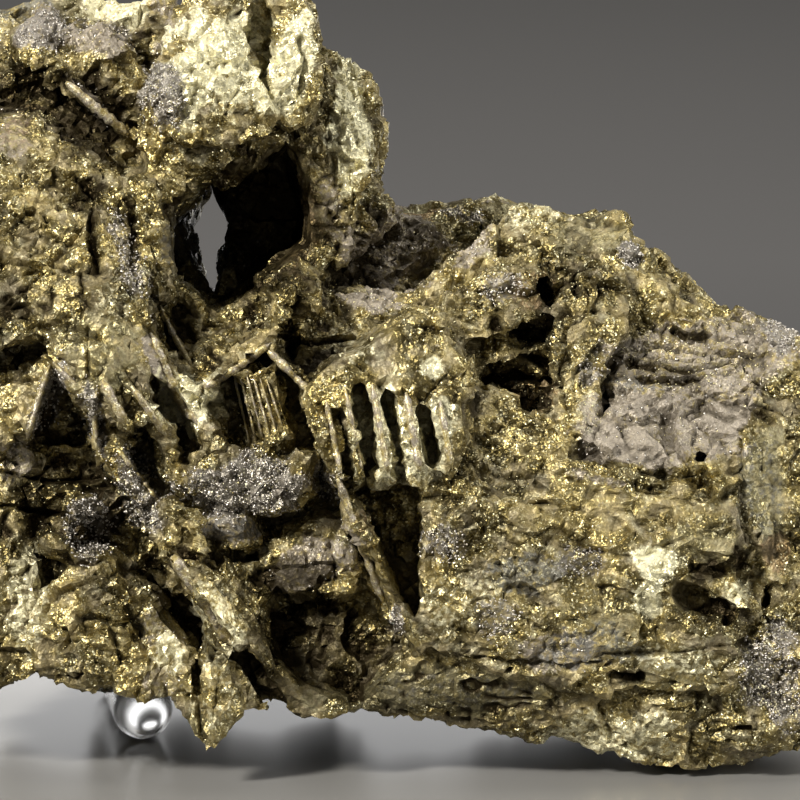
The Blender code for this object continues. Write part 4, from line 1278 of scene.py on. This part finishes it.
def build_blades(points, corners):
    """All the blades and fins as one piece on the skin."""
    skin = BVHTree.FromPolygons(points.tolist(), corners.tolist())
    all_points, all_faces, count = [], [], 0
    for line, width, height in itertools.chain(BLADES, fins()):
        blade = blade_points(line, width, height, skin)
        all_points.append(blade)
        all_faces.append(blade_faces(len(blade) // BLADE_RING) + count)
        count += len(blade)
    mesh = new_mesh("crystal_blades", np.concatenate(all_points), np.concatenate(all_faces))
    mesh.materials.append(blade_crystal())
    blades = add_piece("crystal_blades", mesh)
    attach(blades, "root")


# Crystal grains.

# How many different crystals there are and how many points each is made from, its stretch along
# each of its axes, and the seed of every random draw.
GRAIN_SHAPES = 10
GRAIN_POINTS = 9
GRAIN_STRETCH = (0.7, 1.25)
GRAIN_SEED = 77

# Each kind of grain: its name, how many there are, the least and the largest size in millimetres,
# and its bright and its dull colour.
GRAINS = (
    ("silver_druse", 13500, 0.18, 0.42, SILVER, DULL_SILVER),
    ("gold_grains", 10500, 0.13, 0.27, PALE_AND_LIT, GOLD),
)


def grain_shapes():
    """A few small convex crystals with flat faces."""
    chance = random.Random(GRAIN_SEED)
    shapes = []
    for _ in range(GRAIN_SHAPES):
        bm = bmesh.new()
        for _ in range(GRAIN_POINTS):
            direction = Vector([chance.gauss(0, 1) for _ in range(3)]).normalized()
            bm.verts.new(direction * chance.uniform(0.75, 1.0))
        hull = bmesh.ops.convex_hull(bm, input=bm.verts)
        spare = [g for g in hull["geom_interior"] if isinstance(g, bmesh.types.BMVert)]
        bmesh.ops.delete(bm, geom=spare, context="VERTS")
        bm.verts.index_update()
        shapes.append((
            np.array([v.co for v in bm.verts], np.float32),
            np.array([[v.index for v in f.verts] for f in bm.faces], np.int32),
        ))
        bm.free()
    return shapes


def grown(name, places, sizes, chance, material, shapes):
    """One mesh of crystals at the given places, each turned at random."""
    points, corners, count = [], [], 0
    for spot, size in zip(places, sizes):
        shape_points, shape_corners = shapes[chance.integers(len(shapes))]
        turn, _ = np.linalg.qr(chance.normal(size=(3, 3)))
        if np.linalg.det(turn) < 0:
            turn[:, 0] *= -1
        stretch = size * chance.uniform(*GRAIN_STRETCH, 3)
        points.append((shape_points * stretch) @ turn.T + spot)
        corners.append(shape_corners + count)
        count += len(shape_points)
    mesh = new_mesh(name, np.concatenate(points), np.concatenate(corners))
    piece = add_piece(name, mesh)
    mesh.materials.append(material)
    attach(piece, "root")


def scattered_on(points, corners, weight, count, chance):
    """Places on the skin, more of them where weight is high."""
    sides = points[corners]
    area = np.linalg.norm(np.cross(sides[:, 1] - sides[:, 0], sides[:, 2] - sides[:, 0]), axis=1) / 2
    odds = area * weight[corners].mean(1)
    faces = chance.choice(len(corners), count, p=odds / odds.sum())
    shares = chance.dirichlet((1, 1, 1), count)
    return np.einsum("ij,ijk->ik", shares, sides[faces])


def build_grains(points, corners, tones):
    """The silver and gold grains, all of them above the floor and few where the back is."""
    chance = np.random.default_rng(GRAIN_SEED)
    shapes = grain_shapes()
    depth = in_view(points)[2]
    showing = 1 - smooth_step(depth, 0, 20) * 0.85
    silver = np.clip(tones["silver"] + 0.06 * tones["taupe"], 0, 1) * showing
    gold = 0.1 + tones["granular"] - tones["smooth"] - 0.8 * tones["silver"] - 0.9 * tones["dark_and_shade"]
    gold = np.clip(gold, 0.01, 1) * showing
    for weight, (name, count, small, large, bright, dull) in zip((silver, gold), GRAINS):
        places = scattered_on(points, corners, weight, count, chance)
        sizes = small + (large - small) * chance.random(count) ** 2
        places[:, 2] = np.maximum(places[:, 2], GRAIN_STRETCH[1] * sizes)
        grown(name, places, sizes, chance, grain_material(name, bright, dull), shapes)


# How many steps the rounding of the rod's ends has, and how many sides the rod.
ROUND_STEPS = 16
ROD_SIDES = 96


def build_rod():
    """The clear rod, turned again from a finer profile."""
    low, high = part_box("display_rod")
    radius = ROD_DIAMETER / 2
    straight = (ROD_LENGTH - ROD_DIAMETER) / 2
    quarter = [math.pi / 2 * i / ROUND_STEPS for i in range(ROUND_STEPS + 1)]
    lower = [(radius * math.cos(a), -straight - radius * math.sin(a)) for a in quarter]
    upper = [(r, -h) for r, h in reversed(lower)]
    profile = [(max(r, 0) * MM, 0, h * MM) for r, h in upper + lower]
    mesh = bpy.data.meshes.new("clear_rod")
    mesh.from_pydata(profile, [(i, i + 1) for i in range(len(profile) - 1)], [])
    piece = add_piece("clear_rod_profile", mesh)
    turned = piece.modifiers.new("Turned", "SCREW")
    turned.steps = turned.render_steps = ROD_SIDES
    turned.use_merge_vertices = True
    turned.merge_threshold = 0.001 * MM
    solid = applied(piece)
    solid.name = "clear_rod"
    solid.shade_smooth()
    rod = add_piece("clear_rod", solid)
    along = Vector((-math.sin(ROD_TURN), math.cos(ROD_TURN), 0))
    rod.location = (low + high) / 2
    rod.rotation_euler = along.to_track_quat("Z", "X").to_euler()
    solid.materials.append(clear_acrylic())
    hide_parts("display_rod")
    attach(rod, "root")


# The studio.

FLOOR_SIZE = 3.0
WALL_DISTANCE = 0.9
WALL_HEIGHT = 2.0
SWEEP_RADIUS = 0.35
SWEEP_STEPS = 12

# The greys of the floor, of the foot of the backdrop and of the rest of it. The backdrop is painted
# darker higher up, as shade that falls off upwards.
FLOOR_GREY = (0.195, 0.19, 0.178, 1)
LOW_GREY = (0.105, 0.102, 0.10, 1)
SHADED_HIGH_GREY = (0.05, 0.049, 0.048, 1)


def grey_sweep():
    """Semi-gloss floor, and a backdrop that darkens upwards and shows from its front alone."""
    material, tree, shader = shader_tree("grey_sweep")
    behind = tree.nodes.new("ShaderNodeNewGeometry").outputs["Backfacing"]
    clear = tree.nodes.new("ShaderNodeBsdfTransparent").outputs[0]
    either = tree.nodes.new("ShaderNodeMixShader")
    for socket, value in zip(either.inputs, (behind, shader.outputs[0], clear)):
        fill(tree, socket, value)
    tree.links.new(either.outputs[0], tree.nodes["Material Output"].inputs["Surface"])
    height = add_node(tree, "ShaderNodeSeparateXYZ", Vector=place(tree)).outputs["Z"]
    colour = blended(tree, between(tree, height, 0.0, 0.01), FLOOR_GREY, LOW_GREY)
    # Painted shade: the backdrop is painted darker higher up, as if the lamps' light fell off.
    colour = blended(tree, between(tree, height, 0.03, 0.13), colour, SHADED_HIGH_GREY)
    tree.links.new(colour, shader.inputs["Base Color"])
    tree.links.new(between(tree, height, 0.0, 0.004, 0.27, 0.95), shader.inputs["Roughness"])
    return material


def build_stage():
    """A pale floor that sweeps up into a grey backdrop."""
    profile = [(-FLOOR_SIZE / 2, 0.0), (WALL_DISTANCE - SWEEP_RADIUS, 0.0)]
    for step in range(1, SWEEP_STEPS + 1):
        angle = math.pi / 2 * step / SWEEP_STEPS
        profile.append((
            WALL_DISTANCE - SWEEP_RADIUS + SWEEP_RADIUS * math.sin(angle),
            SWEEP_RADIUS * (1 - math.cos(angle)),
        ))
    profile.append((WALL_DISTANCE, WALL_HEIGHT))
    points = [(side * FLOOR_SIZE / 2, y, z) for side in (-1, 1) for y, z in profile]
    count = len(profile)
    faces = [(count + i, count + i + 1, i + 1, i) for i in range(count - 1)]
    mesh = bpy.data.meshes.new("studio_sweep")
    mesh.from_pydata(points, [], faces)
    mesh.shade_smooth()
    mesh.materials.append(grey_sweep())
    add_piece("studio_sweep", mesh)


# The air's own light, as its colour and strength.
AIR_COLOUR = (0.75, 0.77, 0.8, 1)
AIR_STRENGTH = 0.12

# Each lamp: its name, its place and what it faces in metres, its width and height, its power in
# watts and its colour.
STONE_MIDDLE = (0, 0, 0.06)
LAMPS = (
    ("key", (-0.95, -1.0, 1.0), STONE_MIDDLE, (0.28, 0.28), 54, (1.0, 0.97, 0.92)),
    ("top", (0.10, 0.05, 0.75), STONE_MIDDLE, (0.4, 0.3), 2.5, (1.0, 0.98, 0.95)),
    ("right", (0.80, -0.30, 0.28), STONE_MIDDLE, (0.3, 0.4), 5, (1.0, 0.99, 0.96)),
    ("back", (-0.05, 0.46, 0.07), (0.0, 0.0, 0.02), (0.9, 0.12), 0.62, (1.0, 1.0, 1.0)),
)


def area_light(name, where, target, size, power, colour):
    """A rectangular lamp that faces its target."""
    data = bpy.data.lights.new(name, "AREA")
    data.shape = "RECTANGLE"
    data.size, data.size_y = size
    data.energy = power
    data.color = colour
    light = bpy.data.objects.new(name, data)
    bpy.context.scene.collection.objects.link(light)
    light.location = where
    light.rotation_euler = (Vector(target) - Vector(where)).to_track_quat("-Z", "Y").to_euler()


def build_lights():
    """The studio's dim air and its lamps."""
    world = bpy.data.worlds.new("studio")
    world.use_nodes = True
    background = world.node_tree.nodes["Background"]
    background.inputs["Color"].default_value = AIR_COLOUR
    background.inputs["Strength"].default_value = AIR_STRENGTH
    bpy.context.scene.world = world
    for lamp in LAMPS:
        area_light(*lamp)


def build_camera():
    """The camera that gives the front view."""
    data = bpy.data.cameras.new("front")
    data.sensor_width = SENSOR
    data.lens = SENSOR * SIGHT_DISTANCE / (FRAME_PIXELS / PIXELS_PER_MM)
    camera = bpy.data.objects.new("front", data)
    bpy.context.scene.collection.objects.link(camera)
    middle_height = (BASE_PIXEL - FRAME_PIXELS / 2) / PIXELS_PER_MM - SIGHT_HEIGHT
    eye = ORIGIN - AHEAD * SIGHT_DISTANCE + UP * middle_height
    camera.location = Vector(eye) * MM
    camera.rotation_euler = (math.pi / 2 - SIGHT_DROP, 0, 0)
    bpy.context.scene.camera = camera


bpy.context.scene.view_settings.view_transform = "Standard"
build_camera()
build_lights()
build_stage()
build_rod()
skin_points, skin_corners, skin_tones = build_stone()
build_blades(skin_points, skin_corners)
build_grains(skin_points, skin_corners, skin_tones)
